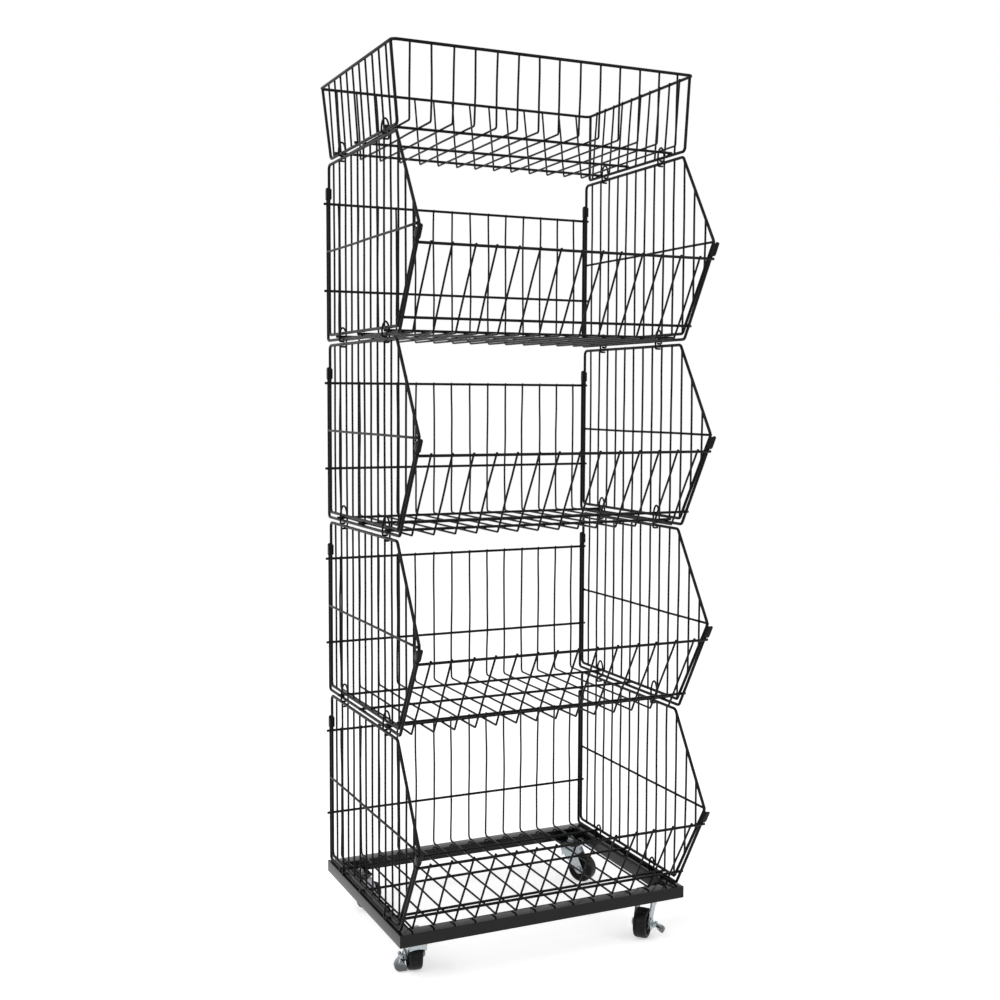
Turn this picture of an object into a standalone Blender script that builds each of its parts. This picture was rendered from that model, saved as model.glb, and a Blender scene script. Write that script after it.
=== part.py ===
"""Rolling wire display rack: four stacked wire baskets and a top tray on a tube base with casters."""
import math

import bmesh
import bpy
from mathutils import Matrix, Vector

MM = 0.001

# Wire diameters and the two ways that wires meet
FRAME_WIRE = 5.0 * MM
CROSS_WIRE = 4.5 * MM
MESH_WIRE = 3.0 * MM
BRACE_WIRE = 4.0 * MM
LINK_WIRE = 3.2 * MM
WELD = 0.5 * MM
GAP = 0.3 * MM

# Baskets: a cradle bent round bottom, back and lower front, and a five-sided panel at each end
TIERS = 4
SIDE_SPAN = 500.0 * MM
PANEL_HEIGHT = 288.2 * MM
PANEL_TOP_DEPTH = 332.0 * MM
PANEL_BOTTOM_DEPTH = 337.0 * MM
TIP_DEPTH = 425.0 * MM
TIP_HEIGHT = 141.5 * MM
PANEL_BEND = 8.0 * MM
PANEL_WIRES = 13
FIRST_WIRE = 25.2 * MM
TIP_MARGIN = 25.0 * MM
CRADLE_WIRES = 14
CRADLE_MARGIN = 20.0 * MM
BACK_BEND = 6.0 * MM
FRONT_BEND = 8.0 * MM
BACK_CROSS_LOW = 85.0 * MM
BACK_CROSS_HIGH = 233.0 * MM
BOTTOM_CROSS = (0.196, 0.511, 0.869)
FRONT_CROSS_LOW = 0.13
FRONT_CROSS_HIGH = 0.85
CROSS_OVERHANG = 8.0 * MM
HIGH_OVERHANG = 4.5 * MM
WIRE_TIP = 2.0 * MM

# Hook plates at the four corners of each cradle
PLATE_SHEET = 2.0 * MM
FRONT_PLATE_WIDTH = 7.7 * MM
FRONT_PLATE_REACH = 5.0 * MM
FRONT_PLATE_LENGTH = 24.0 * MM
FRONT_LIP_LENGTH = 15.0 * MM
BACK_PLATE_WIDTH = 9.0 * MM
BACK_PLATE_LENGTH = 23.0 * MM
BACK_LIP_DEPTH = 4.0 * MM
PLATE_STEP = 2.5 * MM

# Top tray, flared towards its rim
TRAY_HEIGHT = 120.5 * MM
TRAY_DEPTH = 324.0 * MM
TRAY_SETBACK = 12.0 * MM
TRAY_FLARE_FRONT = 5.0 * MM
TRAY_FLARE_BACK = 24.0 * MM
TRAY_FLARE_SIDE = 10.0 * MM
TRAY_CROSS = (0.10, 0.42, 0.86)
TRAY_SIDE_WIRES = 10
TRAY_SIDE_BACK = 13.2 * MM
TRAY_SIDE_FRONT = 29.7 * MM
RIM_BEND = 8.0 * MM

# Wire links that tie each tier to the one below
LINK_SLACK = 1.9 * MM
LINK_RISE = (27.0 * MM, 27.0 * MM, 20.0 * MM, 16.0 * MM)
STAPLE_RISE = 19.0 * MM
LINK_STEPS = {"left": {"rear": 2.5, "front": 9.25}, "right": {"rear": 2.45, "front": 8.6}}
STAPLE_SLACK = 0.5 * MM

# Base frame
TUBE_WIDTH = 25.0 * MM
TUBE_HEIGHT = 20.0 * MM
TUBE_WALL = 1.5 * MM
BASE_MARGIN = 5.9 * MM
BASE_DEPTH = 368.0 * MM
BASE_BACK = 11.0 * MM
GUSSET_LEG = 40.0 * MM
GUSSET_CHAMFER = 12.0 * MM
GUSSET_SHEET = 3.0 * MM

# Casters: turning angle of each trail direction, and the brake pedals of the front pair
CASTER_HEIGHT = 68.0 * MM
CASTER_INSET = 45.0 * MM
WHEEL_RADIUS = 25.0 * MM
WHEEL_WIDTH = 22.0 * MM
TRAIL = 25.0 * MM
AXLE_RADIUS = 4.0 * MM
AXLE_HEAD_RADIUS = 6.0 * MM
AXLE_HEAD = 3.6 * MM
HUB_PLAY = 1.0 * MM
FORK_SHEET = 2.4 * MM
CROWN_SHEET = 3.0 * MM
CROWN_FRONT = 14.0 * MM
CROWN_BACK = 16.0 * MM
APRON_DROP = 17.0 * MM
TURNTABLE_RADIUS = 17.0 * MM
CUP_RADIUS = 19.0 * MM
CUP_HEIGHT = 3.6 * MM
STEM_RADIUS = 4.0 * MM
KING_RADIUS = 4.0 * MM
KING_HEAD_RADIUS = 7.0 * MM
KING_HEAD = 2.5 * MM
WASHER_RADIUS = 9.5 * MM
WASHER = 1.8 * MM
NUT_RADIUS = 6.6 * MM
NUT_HEIGHT = 5.5 * MM
HINGE_PLAY = 0.5 * MM
EYE_WIDTH = 5.0 * MM
EYE_RADIUS = 2.5 * MM
PIN_RADIUS = 1.5 * MM
BARREL_RADIUS = 3.2 * MM
BARREL_LENGTH = 16.0 * MM
PEDAL_WIDTH = 22.0 * MM
PEDAL_LENGTH = 23.5 * MM
PEDAL_SHEET = 2.0 * MM
PEDAL_CROWN = 8.5 * MM
PEDAL_LIP = 6.0 * MM
CASTERS = {
    "front_left": (-1, -1, 80.0, 80.0),
    "front_right": (1, -1, -137.0, 32.0),
    "rear_right": (1, 1, -57.0, None),
    "rear_left": (-1, 1, 33.0, None),
}

# Sizes that follow from those above
NEST = FRAME_WIRE + CROSS_WIRE - WELD + GAP
TIP_NEST = FRAME_WIRE + GAP + 0.2 * MM
LOOSE = (FRAME_WIRE + CROSS_WIRE) / 2 - WELD
SEAT = 0.6 * MM
TIER_PITCH = NEST + PANEL_HEIGHT + FRAME_WIRE + LINK_WIRE + 2 * GAP
BASE_TOP = CASTER_HEIGHT + TUBE_HEIGHT
FIRST_TIER = BASE_TOP + GAP + FRAME_WIRE / 2
HALF_SPAN = SIDE_SPAN / 2
LINK_HALF = FRAME_WIRE / 2 + LINK_WIRE / 2 + LINK_SLACK
STAPLE_HALF = FRAME_WIRE / 2 + LINK_WIRE / 2 + STAPLE_SLACK
BASE_WIDTH = SIDE_SPAN + 2 * BASE_MARGIN
PANEL_PITCH = (TIP_DEPTH - TIP_MARGIN - FIRST_WIRE) / (PANEL_WIRES - 1)
CRADLE_PITCH = (SIDE_SPAN - 2 * CRADLE_MARGIN) / (CRADLE_WIRES - 1)
TRAY_PITCH = SIDE_SPAN / CRADLE_WIRES
TRAY_SIDE_PITCH = (TRAY_DEPTH - TRAY_SIDE_BACK - TRAY_SIDE_FRONT) / (TRAY_SIDE_WIRES - 1)
FORK_INNER = WHEEL_WIDTH / 2 + HUB_PLAY
FORK_OUTER = FORK_INNER + FORK_SHEET
TURNTABLE_TOP = CASTER_HEIGHT - 2 * GAP - CUP_HEIGHT
CROWN_TOP = TURNTABLE_TOP - 0.8 * MM
CROWN_BOTTOM = CROWN_TOP - CROWN_SHEET
AXLE_END = FORK_OUTER + GAP + AXLE_HEAD
HINGE_REACH = AXLE_END + BARREL_RADIUS + HINGE_PLAY

for old in list(bpy.data.objects):
    bpy.data.objects.remove(old, do_unlink=True)

rack = bpy.data.collections.new("rolling_wire_display_rack")
bpy.context.scene.collection.children.link(rack)


def material(name, colour, metallic, roughness):
    made = bpy.data.materials.new(name)
    made.use_nodes = True
    shader = made.node_tree.nodes["Principled BSDF"]
    shader.inputs["Base Color"].default_value = (*colour, 1.0)
    shader.inputs["Metallic"].default_value = metallic
    shader.inputs["Roughness"].default_value = roughness
    return made


BLACK = material("black_powder_coat", (0.012, 0.012, 0.013), 0.0, 0.42)
ZINC = material("zinc_plate", (0.62, 0.64, 0.66), 1.0, 0.32)
RUBBER = material("black_tread", (0.018, 0.018, 0.018), 0.0, 0.6)


def weld_mesh(mesh):
    """Close the seams of a mesh and turn its faces outward."""
    work = bmesh.new()
    work.from_mesh(mesh)
    bmesh.ops.remove_doubles(work, verts=work.verts, dist=0.00002)
    bmesh.ops.recalc_face_normals(work, faces=work.faces)
    work.to_mesh(mesh)
    work.free()
    return mesh


def evaluated_mesh(thing):
    """Turn an object with its modifiers into a plain mesh and take the object away."""
    bpy.context.view_layer.update()
    graph = bpy.context.evaluated_depsgraph_get()
    mesh = bpy.data.meshes.new_from_object(thing.evaluated_get(graph))
    mesh.transform(thing.matrix_world)
    bpy.data.objects.remove(thing, do_unlink=True)
    return mesh


def curve_object(paths, closed, dimensions="3D", tilt=0.0):
    data = bpy.data.curves.new("path", "CURVE")
    data.dimensions = dimensions
    for path in paths:
        spline = data.splines.new("POLY")
        spline.points.add(len(path) - 1)
        for point, place in zip(spline.points, path):
            point.co = (*place, 1.0)
            point.tilt = tilt
        spline.use_cyclic_u = closed
    thing = bpy.data.objects.new("path", data)
    bpy.context.scene.collection.objects.link(thing)
    return thing


def wires(paths, diameter, closed=False, tilt=0.0):
    """Round wires along paths that do not touch each other."""
    thing = curve_object(paths, closed, tilt=tilt)
    thing.data.bevel_depth = diameter / 2
    thing.data.bevel_resolution = 0
    thing.data.use_fill_caps = True
    return weld_mesh(evaluated_mesh(thing))


def plate(outline, thickness, holes=()):
    """Flat sheet from an outline in x and y, centred on z = 0."""
    loops = [[(x, y, 0.0) for x, y in loop] for loop in (outline, *holes)]
    thing = curve_object(loops, True, "2D")
    thing.data.fill_mode = "BOTH"
    thing.data.extrude = thickness / 2
    return weld_mesh(evaluated_mesh(thing))


def block(low, high):
    """Rectangular block between two corners."""
    work = bmesh.new()
    size = [b - a for a, b in zip(low, high)]
    middle = [(a + b) / 2 for a, b in zip(low, high)]
    bmesh.ops.create_cube(work, size=1.0, matrix=Matrix.Translation(middle) @ Matrix.Diagonal((*size, 1.0)))
    mesh = bpy.data.meshes.new("block")
    work.to_mesh(mesh)
    work.free()
    return mesh


def turned(profile, steps):
    """Round solid from a closed loop of (radius, height) points about the z axis."""
    work = bmesh.new()
    ring = [work.verts.new((r, 0.0, h)) for r, h in profile]
    edges = [work.edges.new((a, b)) for a, b in zip(ring, ring[1:] + ring[:1])]
    bmesh.ops.spin(work, geom=ring + edges, cent=(0, 0, 0), axis=(0, 0, 1), angle=2 * math.pi, steps=steps)
    mesh = bpy.data.meshes.new("turned")
    work.to_mesh(mesh)
    work.free()
    tidy = bmesh.new()
    tidy.from_mesh(weld_mesh(mesh))
    flat = [face for face in tidy.faces if face.calc_area() < 1e-12]
    bmesh.ops.delete(tidy, geom=flat, context="FACES_ONLY")
    loose = [edge for edge in tidy.edges if not edge.link_faces]
    bmesh.ops.delete(tidy, geom=loose, context="EDGES")
    tidy.to_mesh(mesh)
    tidy.free()
    return weld_mesh(mesh)


def circle(x, y, radius, count):
    return [
        (x + radius * math.cos(2 * math.pi * i / count), y + radius * math.sin(2 * math.pi * i / count))
        for i in range(count)
    ]


def together(*meshes):
    """One mesh that holds bodies which do not touch each other."""
    work = bmesh.new()
    for mesh in meshes:
        work.from_mesh(mesh)
    mesh = bpy.data.meshes.new("set")
    work.to_mesh(mesh)
    work.free()
    return mesh


def combine(first, second, operation):
    holder = bpy.data.objects.new("holder", first)
    tool = bpy.data.objects.new("tool", second)
    for thing in (holder, tool):
        bpy.context.scene.collection.objects.link(thing)
    change = holder.modifiers.new("change", "BOOLEAN")
    change.object = tool
    change.operation = operation
    change.solver = "EXACT"
    mesh = evaluated_mesh(holder)
    bpy.data.objects.remove(tool, do_unlink=True)
    return weld_mesh(mesh)


def joined(first, *others):
    for other in others:
        first = combine(first, other, "UNION")
    return first


def cut(first, *others):
    for other in others:
        first = combine(first, other, "DIFFERENCE")
    return first


def moved(mesh, matrix):
    mesh = mesh.copy()
    mesh.transform(matrix)
    if matrix.determinant() < 0:
        mesh.flip_normals()
    return mesh


root = bpy.data.objects.new("rack_origin", None)
rack.objects.link(root)


def piece(name, mesh, look, place=(0, 0, 0), parent=root, turn=None):
    thing = bpy.data.objects.new(name, mesh)
    rack.objects.link(thing)
    if not mesh.materials:
        mesh.name = name
        mesh.materials.append(look)
        mesh.shade_smooth()
        mesh.set_sharp_from_angle(angle=math.radians(50))
    thing.location = place
    if turn:
        thing.rotation_euler = turn
    thing.parent = parent
    return thing


def bent(corners, radii, steps=1):
    """Path through corners, each rounded to its own radius."""
    path = []
    for before, corner, after, radius in zip(corners, corners[1:], corners[2:], radii):
        if not radius:
            path.append(corner)
            continue
        arrive = (corner - before).normalized()
        leave = (after - corner).normalized()
        turn = arrive.angle(leave)
        start = corner - arrive * radius * math.tan(turn / 2)
        inward = (leave - arrive * arrive.dot(leave)).normalized()
        for i in range(steps + 1):
            angle = turn * i / steps
            path.append(start + (arrive * math.sin(angle) + inward * (1 - math.cos(angle))) * radius)
    return path


def bent_open(corners, radii, steps=1):
    return [corners[0], *bent(corners, radii, steps), corners[-1]]


def bent_loop(corners, radii, steps=1):
    return bent([corners[-1], *corners, corners[0]], radii, steps)


def side_point(x, y, z):
    return Vector((x, y, z))


# Side panel, in its own plane: y is 0 at the back wire, z is 0 at the cradle's lowest wire
panel_corners = [
    (0.0, NEST),
    (-PANEL_BOTTOM_DEPTH, NEST),
    (-TIP_DEPTH, NEST + TIP_HEIGHT),
    (-PANEL_TOP_DEPTH, NEST + PANEL_HEIGHT),
    (0.0, NEST + PANEL_HEIGHT),
]


def panel_height_at(depth, lower):
    edge = PANEL_BOTTOM_DEPTH if lower else PANEL_TOP_DEPTH
    level = NEST if lower else NEST + PANEL_HEIGHT
    if depth <= edge:
        return level
    share = (depth - edge) / (TIP_DEPTH - edge)
    return level + share * (NEST + TIP_HEIGHT - level)


def side_panel(side):
    plane = side * HALF_SPAN
    frame = bent_loop([side_point(plane, y, z) for y, z in panel_corners], [PANEL_BEND] * 5)
    upright = plane - side * SEAT
    uprights = []
    for i in range(PANEL_WIRES):
        depth = FIRST_WIRE + i * PANEL_PITCH
        low = side_point(upright, -depth, panel_height_at(depth, True))
        uprights.append([low, side_point(upright, -depth, panel_height_at(depth, False))])
    brace_x = upright + side * (MESH_WIRE / 2 + BRACE_WIRE / 2 + GAP)
    level = NEST + TIP_HEIGHT
    tip = -TIP_DEPTH + PANEL_BEND / 2
    brace = [[side_point(brace_x, FRAME_WIRE / 4, level), side_point(brace_x, tip, level)]]
    body = joined(wires([frame], FRAME_WIRE, closed=True), wires(uprights, MESH_WIRE))
    return joined(body, wires(brace, BRACE_WIRE))


# Cradle profile in the same plane: outside the panel by NEST, drawing closer at the front tip
low_corner = Vector(panel_corners[1])
tip_corner = Vector(panel_corners[2])
slant = (tip_corner - low_corner).normalized()
outward = Vector((-slant.y, slant.x))
LOW_NEST = (NEST - FRONT_CROSS_LOW * TIP_NEST) / (1 - FRONT_CROSS_LOW)
front_low = low_corner + outward * LOW_NEST
front_tip = tip_corner + outward * TIP_NEST
front_run = front_tip - front_low
slope = front_run.normalized()
facing = Vector((-slope.y, slope.x))
bottom_front = front_low - front_run * (front_low.y / front_run.y)
FRONT_LENGTH = (front_tip - bottom_front).length
FRONT_HIGH = FRONT_CROSS_HIGH * FRONT_LENGTH
BOTTOM_LENGTH = NEST - bottom_front.x


def cradle_path(x, inset, front_end, back_end, front_bend):
    """Bent wire at x; inset moves it inward, the two ends are distances along front and back."""
    shift = inset * (1 + slope.x) / slope.y
    corner = Vector((bottom_front.x + shift, inset))
    end = corner + slope * front_end
    corners = [
        side_point(x, NEST - inset, back_end),
        side_point(x, NEST - inset, inset),
        side_point(x, corner.x, corner.y),
        side_point(x, end.x, end.y),
    ]
    return bent_open(corners, [BACK_BEND, front_bend])


def across(places, reach):
    return [[side_point(-reach, y, z), side_point(reach, y, z)] for y, z in places]


def cradle():
    thin_inset = (FRAME_WIRE - MESH_WIRE) / 2 - WELD - GAP
    back_top = BACK_CROSS_HIGH + CROSS_WIRE / 2 + PLATE_STEP + BACK_PLATE_LENGTH - 2 * MM
    plate_start = FRONT_HIGH + CROSS_WIRE / 2 + PLATE_STEP
    front_top = plate_start + FRONT_PLATE_LENGTH - 4 * MM
    ends = [cradle_path(side * HALF_SPAN, 0.0, front_top, back_top, FRONT_BEND) for side in (-1, 1)]
    thin_front = FRONT_HIGH + WIRE_TIP
    thin_back = BACK_CROSS_HIGH + WIRE_TIP
    thin = [
        cradle_path(CRADLE_MARGIN + i * CRADLE_PITCH - HALF_SPAN, thin_inset, thin_front, thin_back, 0)
        for i in range(CRADLE_WIRES)
    ]
    reach = HALF_SPAN + CROSS_OVERHANG
    bound = LOOSE - WELD - GAP
    level = [
        (NEST - BOTTOM_CROSS[0] * BOTTOM_LENGTH, LOOSE),
        (NEST - BOTTOM_CROSS[1] * BOTTOM_LENGTH, LOOSE),
        (NEST - BOTTOM_CROSS[2] * BOTTOM_LENGTH, LOOSE),
        (NEST - LOOSE, BACK_CROSS_LOW),
        (NEST - bound, BACK_CROSS_HIGH),
    ]
    low = bottom_front + slope * FRONT_CROSS_LOW * FRONT_LENGTH - facing * LOOSE
    outer = MESH_WIRE / 2 + CROSS_WIRE / 2 - WELD - thin_inset
    high = bottom_front + slope * FRONT_HIGH + facing * outer
    lean = math.atan2(slope.y, -slope.x)
    cross = together(
        wires(across(level, reach), CROSS_WIRE),
        wires(across([low], reach), CROSS_WIRE, tilt=lean),
        wires(across([high], HALF_SPAN + HIGH_OVERHANG), CROSS_WIRE, tilt=lean),
    )
    body = together(wires(ends, FRAME_WIRE), wires(thin, MESH_WIRE))
    body = joined(body, cross)
    hooks = []
    for side in (-1, 1):
        hooks.append(front_hook(side, plate_start))
        hooks.append(back_hook(side, BACK_CROSS_HIGH + CROSS_WIRE / 2 + PLATE_STEP))
    return joined(body, together(*hooks))


def front_hook(side, start):
    """Strip on the outside of the end wire's front, with a lip beside the panel's corner."""
    inner = FRAME_WIRE / 2 - 0.4 * MM
    sheet = block(
        (FRONT_PLATE_REACH - FRONT_PLATE_WIDTH, inner, 0.0),
        (FRONT_PLATE_REACH, inner + PLATE_SHEET, FRONT_PLATE_LENGTH),
    )
    lip_x = FRAME_WIRE / 2 + GAP
    lip = block(
        (lip_x, -TIP_NEST - 2 * MM, 1 * MM),
        (lip_x + PLATE_SHEET, inner + PLATE_SHEET / 2, FRONT_LIP_LENGTH),
    )
    hook = joined(sheet, lip)
    place = bottom_front + slope * start
    turn = Matrix(
        (
            (side, 0, 0, side * HALF_SPAN),
            (0, facing.x, slope.x, place.x),
            (0, facing.y, slope.y, place.y),
            (0, 0, 0, 1),
        )
    )
    return moved(hook, turn)


def back_hook(side, start):
    """Channel between the end wire and the panel's back wire, open towards the panel."""
    near = NEST - FRAME_WIRE / 2 + 0.4 * MM
    far = FRAME_WIRE / 2 + GAP
    top = start + BACK_PLATE_LENGTH
    middle = side * HALF_SPAN
    half = BACK_PLATE_WIDTH / 2
    lip = half - FRAME_WIRE / 2 - GAP
    sheet = block((middle - half, far, start), (middle + half, near, top))
    lips = [
        block(
            (middle + edge * (half - lip / 2) - lip / 2, far - BACK_LIP_DEPTH, start + 1 * MM),
            (middle + edge * (half - lip / 2) + lip / 2 - 0.2 * MM, far + 1 * MM, top - 1 * MM),
        )
        for edge in (-1, 1)
    ]
    return joined(sheet, *lips)


# Tray: same wires bent into a shallow open box
def tray():
    front = -TRAY_SETBACK - TRAY_DEPTH
    back = -TRAY_SETBACK
    rim_x = HALF_SPAN + TRAY_FLARE_SIDE
    rim_front = front - TRAY_FLARE_FRONT
    rim_back = back + TRAY_FLARE_BACK
    bottom = [(back, 0.0), (front, 0.0)]

    def rim_path():
        corners = [(-rim_x, rim_front), (rim_x, rim_front), (rim_x, rim_back), (-rim_x, rim_back)]
        return bent_loop([side_point(x, y, TRAY_HEIGHT) for x, y in corners], [RIM_BEND] * 4)

    def tray_path(x, top_x, inset, pull, steps, bend):
        corners = [
            side_point(top_x, rim_back - pull, TRAY_HEIGHT),
            side_point(x, back - inset, inset),
            side_point(x, front + inset, inset),
            side_point(top_x, rim_front + pull, TRAY_HEIGHT),
        ]
        return bent_open(corners, [bend, bend], steps)

    thin_inset = (FRAME_WIRE - MESH_WIRE) / 2 - WELD - GAP
    ends = [
        tray_path(side * HALF_SPAN, side * (rim_x - SEAT), 0.0, RIM_BEND, 2, BACK_BEND) for side in (-1, 1)
    ]
    places = [(i + 0.5) * TRAY_PITCH - HALF_SPAN for i in range(CRADLE_WIRES)]
    thin = [tray_path(x, x, thin_inset, SEAT, 1, BACK_BEND) for x in places]
    sides = []
    for side in (-1, 1):
        for i in range(TRAY_SIDE_WIRES):
            y = back - TRAY_SIDE_BACK - i * TRAY_SIDE_PITCH
            low = side_point(side * (HALF_SPAN + SEAT), y, 0.0)
            sides.append([low, side_point(side * (rim_x - SEAT), y, TRAY_HEIGHT)])
    cross = [(back - share * TRAY_DEPTH, LOOSE) for share in TRAY_CROSS]
    uprights = together(wires(ends, FRAME_WIRE), wires(thin, MESH_WIRE))
    ties = together(
        wires([rim_path()], FRAME_WIRE, closed=True),
        wires(across(cross, HALF_SPAN + CROSS_OVERHANG / 2), CROSS_WIRE),
    )
    return joined(joined(uprights, ties), wires(sides, MESH_WIRE))


# Link: hooks under the lower panel's top wire, arches over the upper wires, returns between the two
def arch(middle, radius):
    return [
        side_point(radius * math.cos(math.radians(a)), 0.0, middle + radius * math.sin(math.radians(a)))
        for a in (180, 135, 90, 45, 0)
    ]


def link(rise):
    """Path in x and z about the lower wire; x is positive outward, rise is measured from the upper wire."""
    seat = FRAME_WIRE / 2 + GAP + LINK_WIRE / 2
    top = 2 * seat + rise - LINK_WIRE / 2
    over = arch(top - LINK_HALF, LINK_HALF)
    lead = bent_open(
        [side_point(0.65 * LINK_HALF, 0, -seat), side_point(-LINK_HALF, 0, -seat), over[0]], [2.5 * MM]
    )
    tail = bent_open(
        [over[-1], side_point(LINK_HALF, 0, seat), side_point(-0.45 * LINK_HALF, 0, seat)], [2.5 * MM]
    )
    return wires([lead + over[1:-1] + tail], LINK_WIRE)


def staple():
    """Path in x and z about the first tier's end wire: both feet stand on the rail."""
    foot = -FRAME_WIRE / 2
    top = STAPLE_RISE - LINK_WIRE / 2
    over = arch(top - STAPLE_HALF, STAPLE_HALF)
    start = side_point(-STAPLE_HALF, 0.0, foot)
    stop = side_point(STAPLE_HALF, 0.0, foot)
    return wires([[start, *over, stop]], LINK_WIRE)


# Baskets and tray
cradle_mesh = cradle()
panel_meshes = {"left": side_panel(-1), "right": side_panel(1)}
link_meshes = [link(rise) for rise in LINK_RISE]
staple_mesh = staple()
SIDES = {"left": -1, "right": 1}

for tier in range(1, TIERS + 1):
    lift = FIRST_TIER + (tier - 1) * TIER_PITCH
    piece(f"basket_{tier}_cradle", cradle_mesh, BLACK, (0, 0, lift))
    for side in SIDES:
        piece(f"basket_{tier}_{side}_panel", panel_meshes[side], BLACK, (0, 0, lift))
piece("top_tray", tray(), BLACK, (0, 0, FIRST_TIER + TIERS * TIER_PITCH))

for side, sign in SIDES.items():
    facing_turn = (0, 0, 0) if sign > 0 else (0, 0, math.pi)
    for row, steps in LINK_STEPS[side].items():
        depth = FIRST_WIRE + (steps - 1) * PANEL_PITCH
        place = (sign * HALF_SPAN, -depth, FIRST_TIER)
        piece(f"base_{side}_{row}_staple", staple_mesh, BLACK, place, turn=facing_turn)
        for tier in range(1, TIERS + 1):
            level = FIRST_TIER + (tier - 1) * TIER_PITCH + NEST + PANEL_HEIGHT
            upper = "tray" if tier == TIERS else f"basket_{tier + 1}"
            place = (sign * HALF_SPAN, -depth, level)
            piece(f"{upper}_{side}_{row}_link", link_meshes[tier - 1], BLACK, place, turn=facing_turn)


# Base frame of four mitred tubes
BASE_FRONT = BASE_BACK - BASE_DEPTH
base_centre = Vector((0.0, (BASE_BACK + BASE_FRONT) / 2, CASTER_HEIGHT + TUBE_HEIGHT / 2))


def rail(length):
    """Mitred tube along x with its outer long side towards -y; the mitres stop half a gap short."""
    slip = GAP / math.sqrt(2)
    outer = length / 2 - slip
    inner = outer - TUBE_WIDTH
    bar = plate([(-outer, 0), (outer, 0), (inner, TUBE_WIDTH), (-inner, TUBE_WIDTH)], TUBE_HEIGHT)
    low = TUBE_WALL
    high = TUBE_WIDTH - TUBE_WALL
    reach = length / 2
    hollow = plate([(-reach, low), (reach, low), (reach, high), (-reach, high)], TUBE_HEIGHT - 2 * TUBE_WALL)
    return cut(bar, hollow)


long_rail = rail(BASE_WIDTH)
side_rail = rail(BASE_DEPTH)
for name, mesh, offset, turn in (
    ("base_front_rail", long_rail, Vector((0, -BASE_DEPTH / 2, 0)), 0),
    ("base_rear_rail", long_rail, Vector((0, BASE_DEPTH / 2, 0)), math.pi),
    ("base_right_rail", side_rail, Vector((BASE_WIDTH / 2, 0, 0)), math.pi / 2),
    ("base_left_rail", side_rail, Vector((-BASE_WIDTH / 2, 0, 0)), -math.pi / 2),
):
    piece(name, mesh, BLACK, base_centre + offset, turn=(0, 0, turn))


def gusset():
    """Corner plate with its corner at the inside of two rails, reaching along +x and +y."""
    leg = GUSSET_LEG
    bevel = GUSSET_CHAMFER
    start = GAP
    outline = [(start, start), (leg, start), (leg, leg - bevel), (leg - bevel, leg), (start, leg)]
    centre = CASTER_INSET - TUBE_WIDTH
    return plate(outline, GUSSET_SHEET, [circle(centre, centre, STEM_RADIUS + GAP, 12)])


def caster_stem():
    """Threaded stem with nut and washer on the gusset, cup below it, and king pin through the turntable."""
    washer_low = CASTER_HEIGHT + GUSSET_SHEET + GAP
    cup_top = CASTER_HEIGHT - GAP
    head_top = CROWN_BOTTOM - GAP
    post = turned(
        [
            (0.0, head_top - KING_HEAD),
            (KING_HEAD_RADIUS, head_top - KING_HEAD),
            (KING_HEAD_RADIUS, head_top),
            (KING_RADIUS, head_top),
            (KING_RADIUS, TURNTABLE_TOP + GAP),
            (CUP_RADIUS, TURNTABLE_TOP + GAP),
            (CUP_RADIUS, cup_top - CUP_HEIGHT / 2),
            (CUP_RADIUS * 0.85, cup_top),
            (STEM_RADIUS, cup_top),
            (STEM_RADIUS, washer_low),
            (WASHER_RADIUS, washer_low),
            (WASHER_RADIUS, washer_low + WASHER),
            (STEM_RADIUS, washer_low + WASHER),
            (STEM_RADIUS, washer_low + WASHER + NUT_HEIGHT + 2 * MM),
            (0.0, washer_low + WASHER + NUT_HEIGHT + 2 * MM),
        ],
        12,
    )
    nut_middle = washer_low + WASHER - 0.2 * MM + NUT_HEIGHT / 2
    nut = moved(plate(circle(0, 0, NUT_RADIUS, 6), NUT_HEIGHT), Matrix.Translation((0, 0, nut_middle)))
    return joined(post, nut)


UPRIGHT = Matrix.Rotation(math.pi / 2, 4, "X")


def fork_leg(side):
    """Tapered leg in the plane of the wheel, rounded about the axle."""
    boss = 8 * MM
    tip = [
        (TRAIL + boss * math.cos(math.radians(a)), WHEEL_RADIUS + boss * math.sin(math.radians(a)))
        for a in (20, -25, -70, -115, -160)
    ]
    top = CROWN_TOP - 0.4 * MM
    outline = [(CROWN_BACK, top), (-CROWN_FRONT, top), (-CROWN_FRONT, top - 8 * MM), *reversed(tip)]
    sheet = plate(outline, FORK_SHEET, [circle(TRAIL, WHEEL_RADIUS, AXLE_RADIUS + GAP, 10)])
    return moved(sheet, Matrix.Translation((0, side * (FORK_INNER + FORK_SHEET / 2), 0)) @ UPRIGHT)


def along_x(mesh, place):
    return moved(mesh, Matrix.Translation(place) @ Matrix.Rotation(math.pi / 2, 4, "Y"))


def rod(radius, length, steps):
    half = length / 2
    return turned([(0.0, -half), (radius, -half), (radius, half), (0.0, half)], steps)


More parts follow.
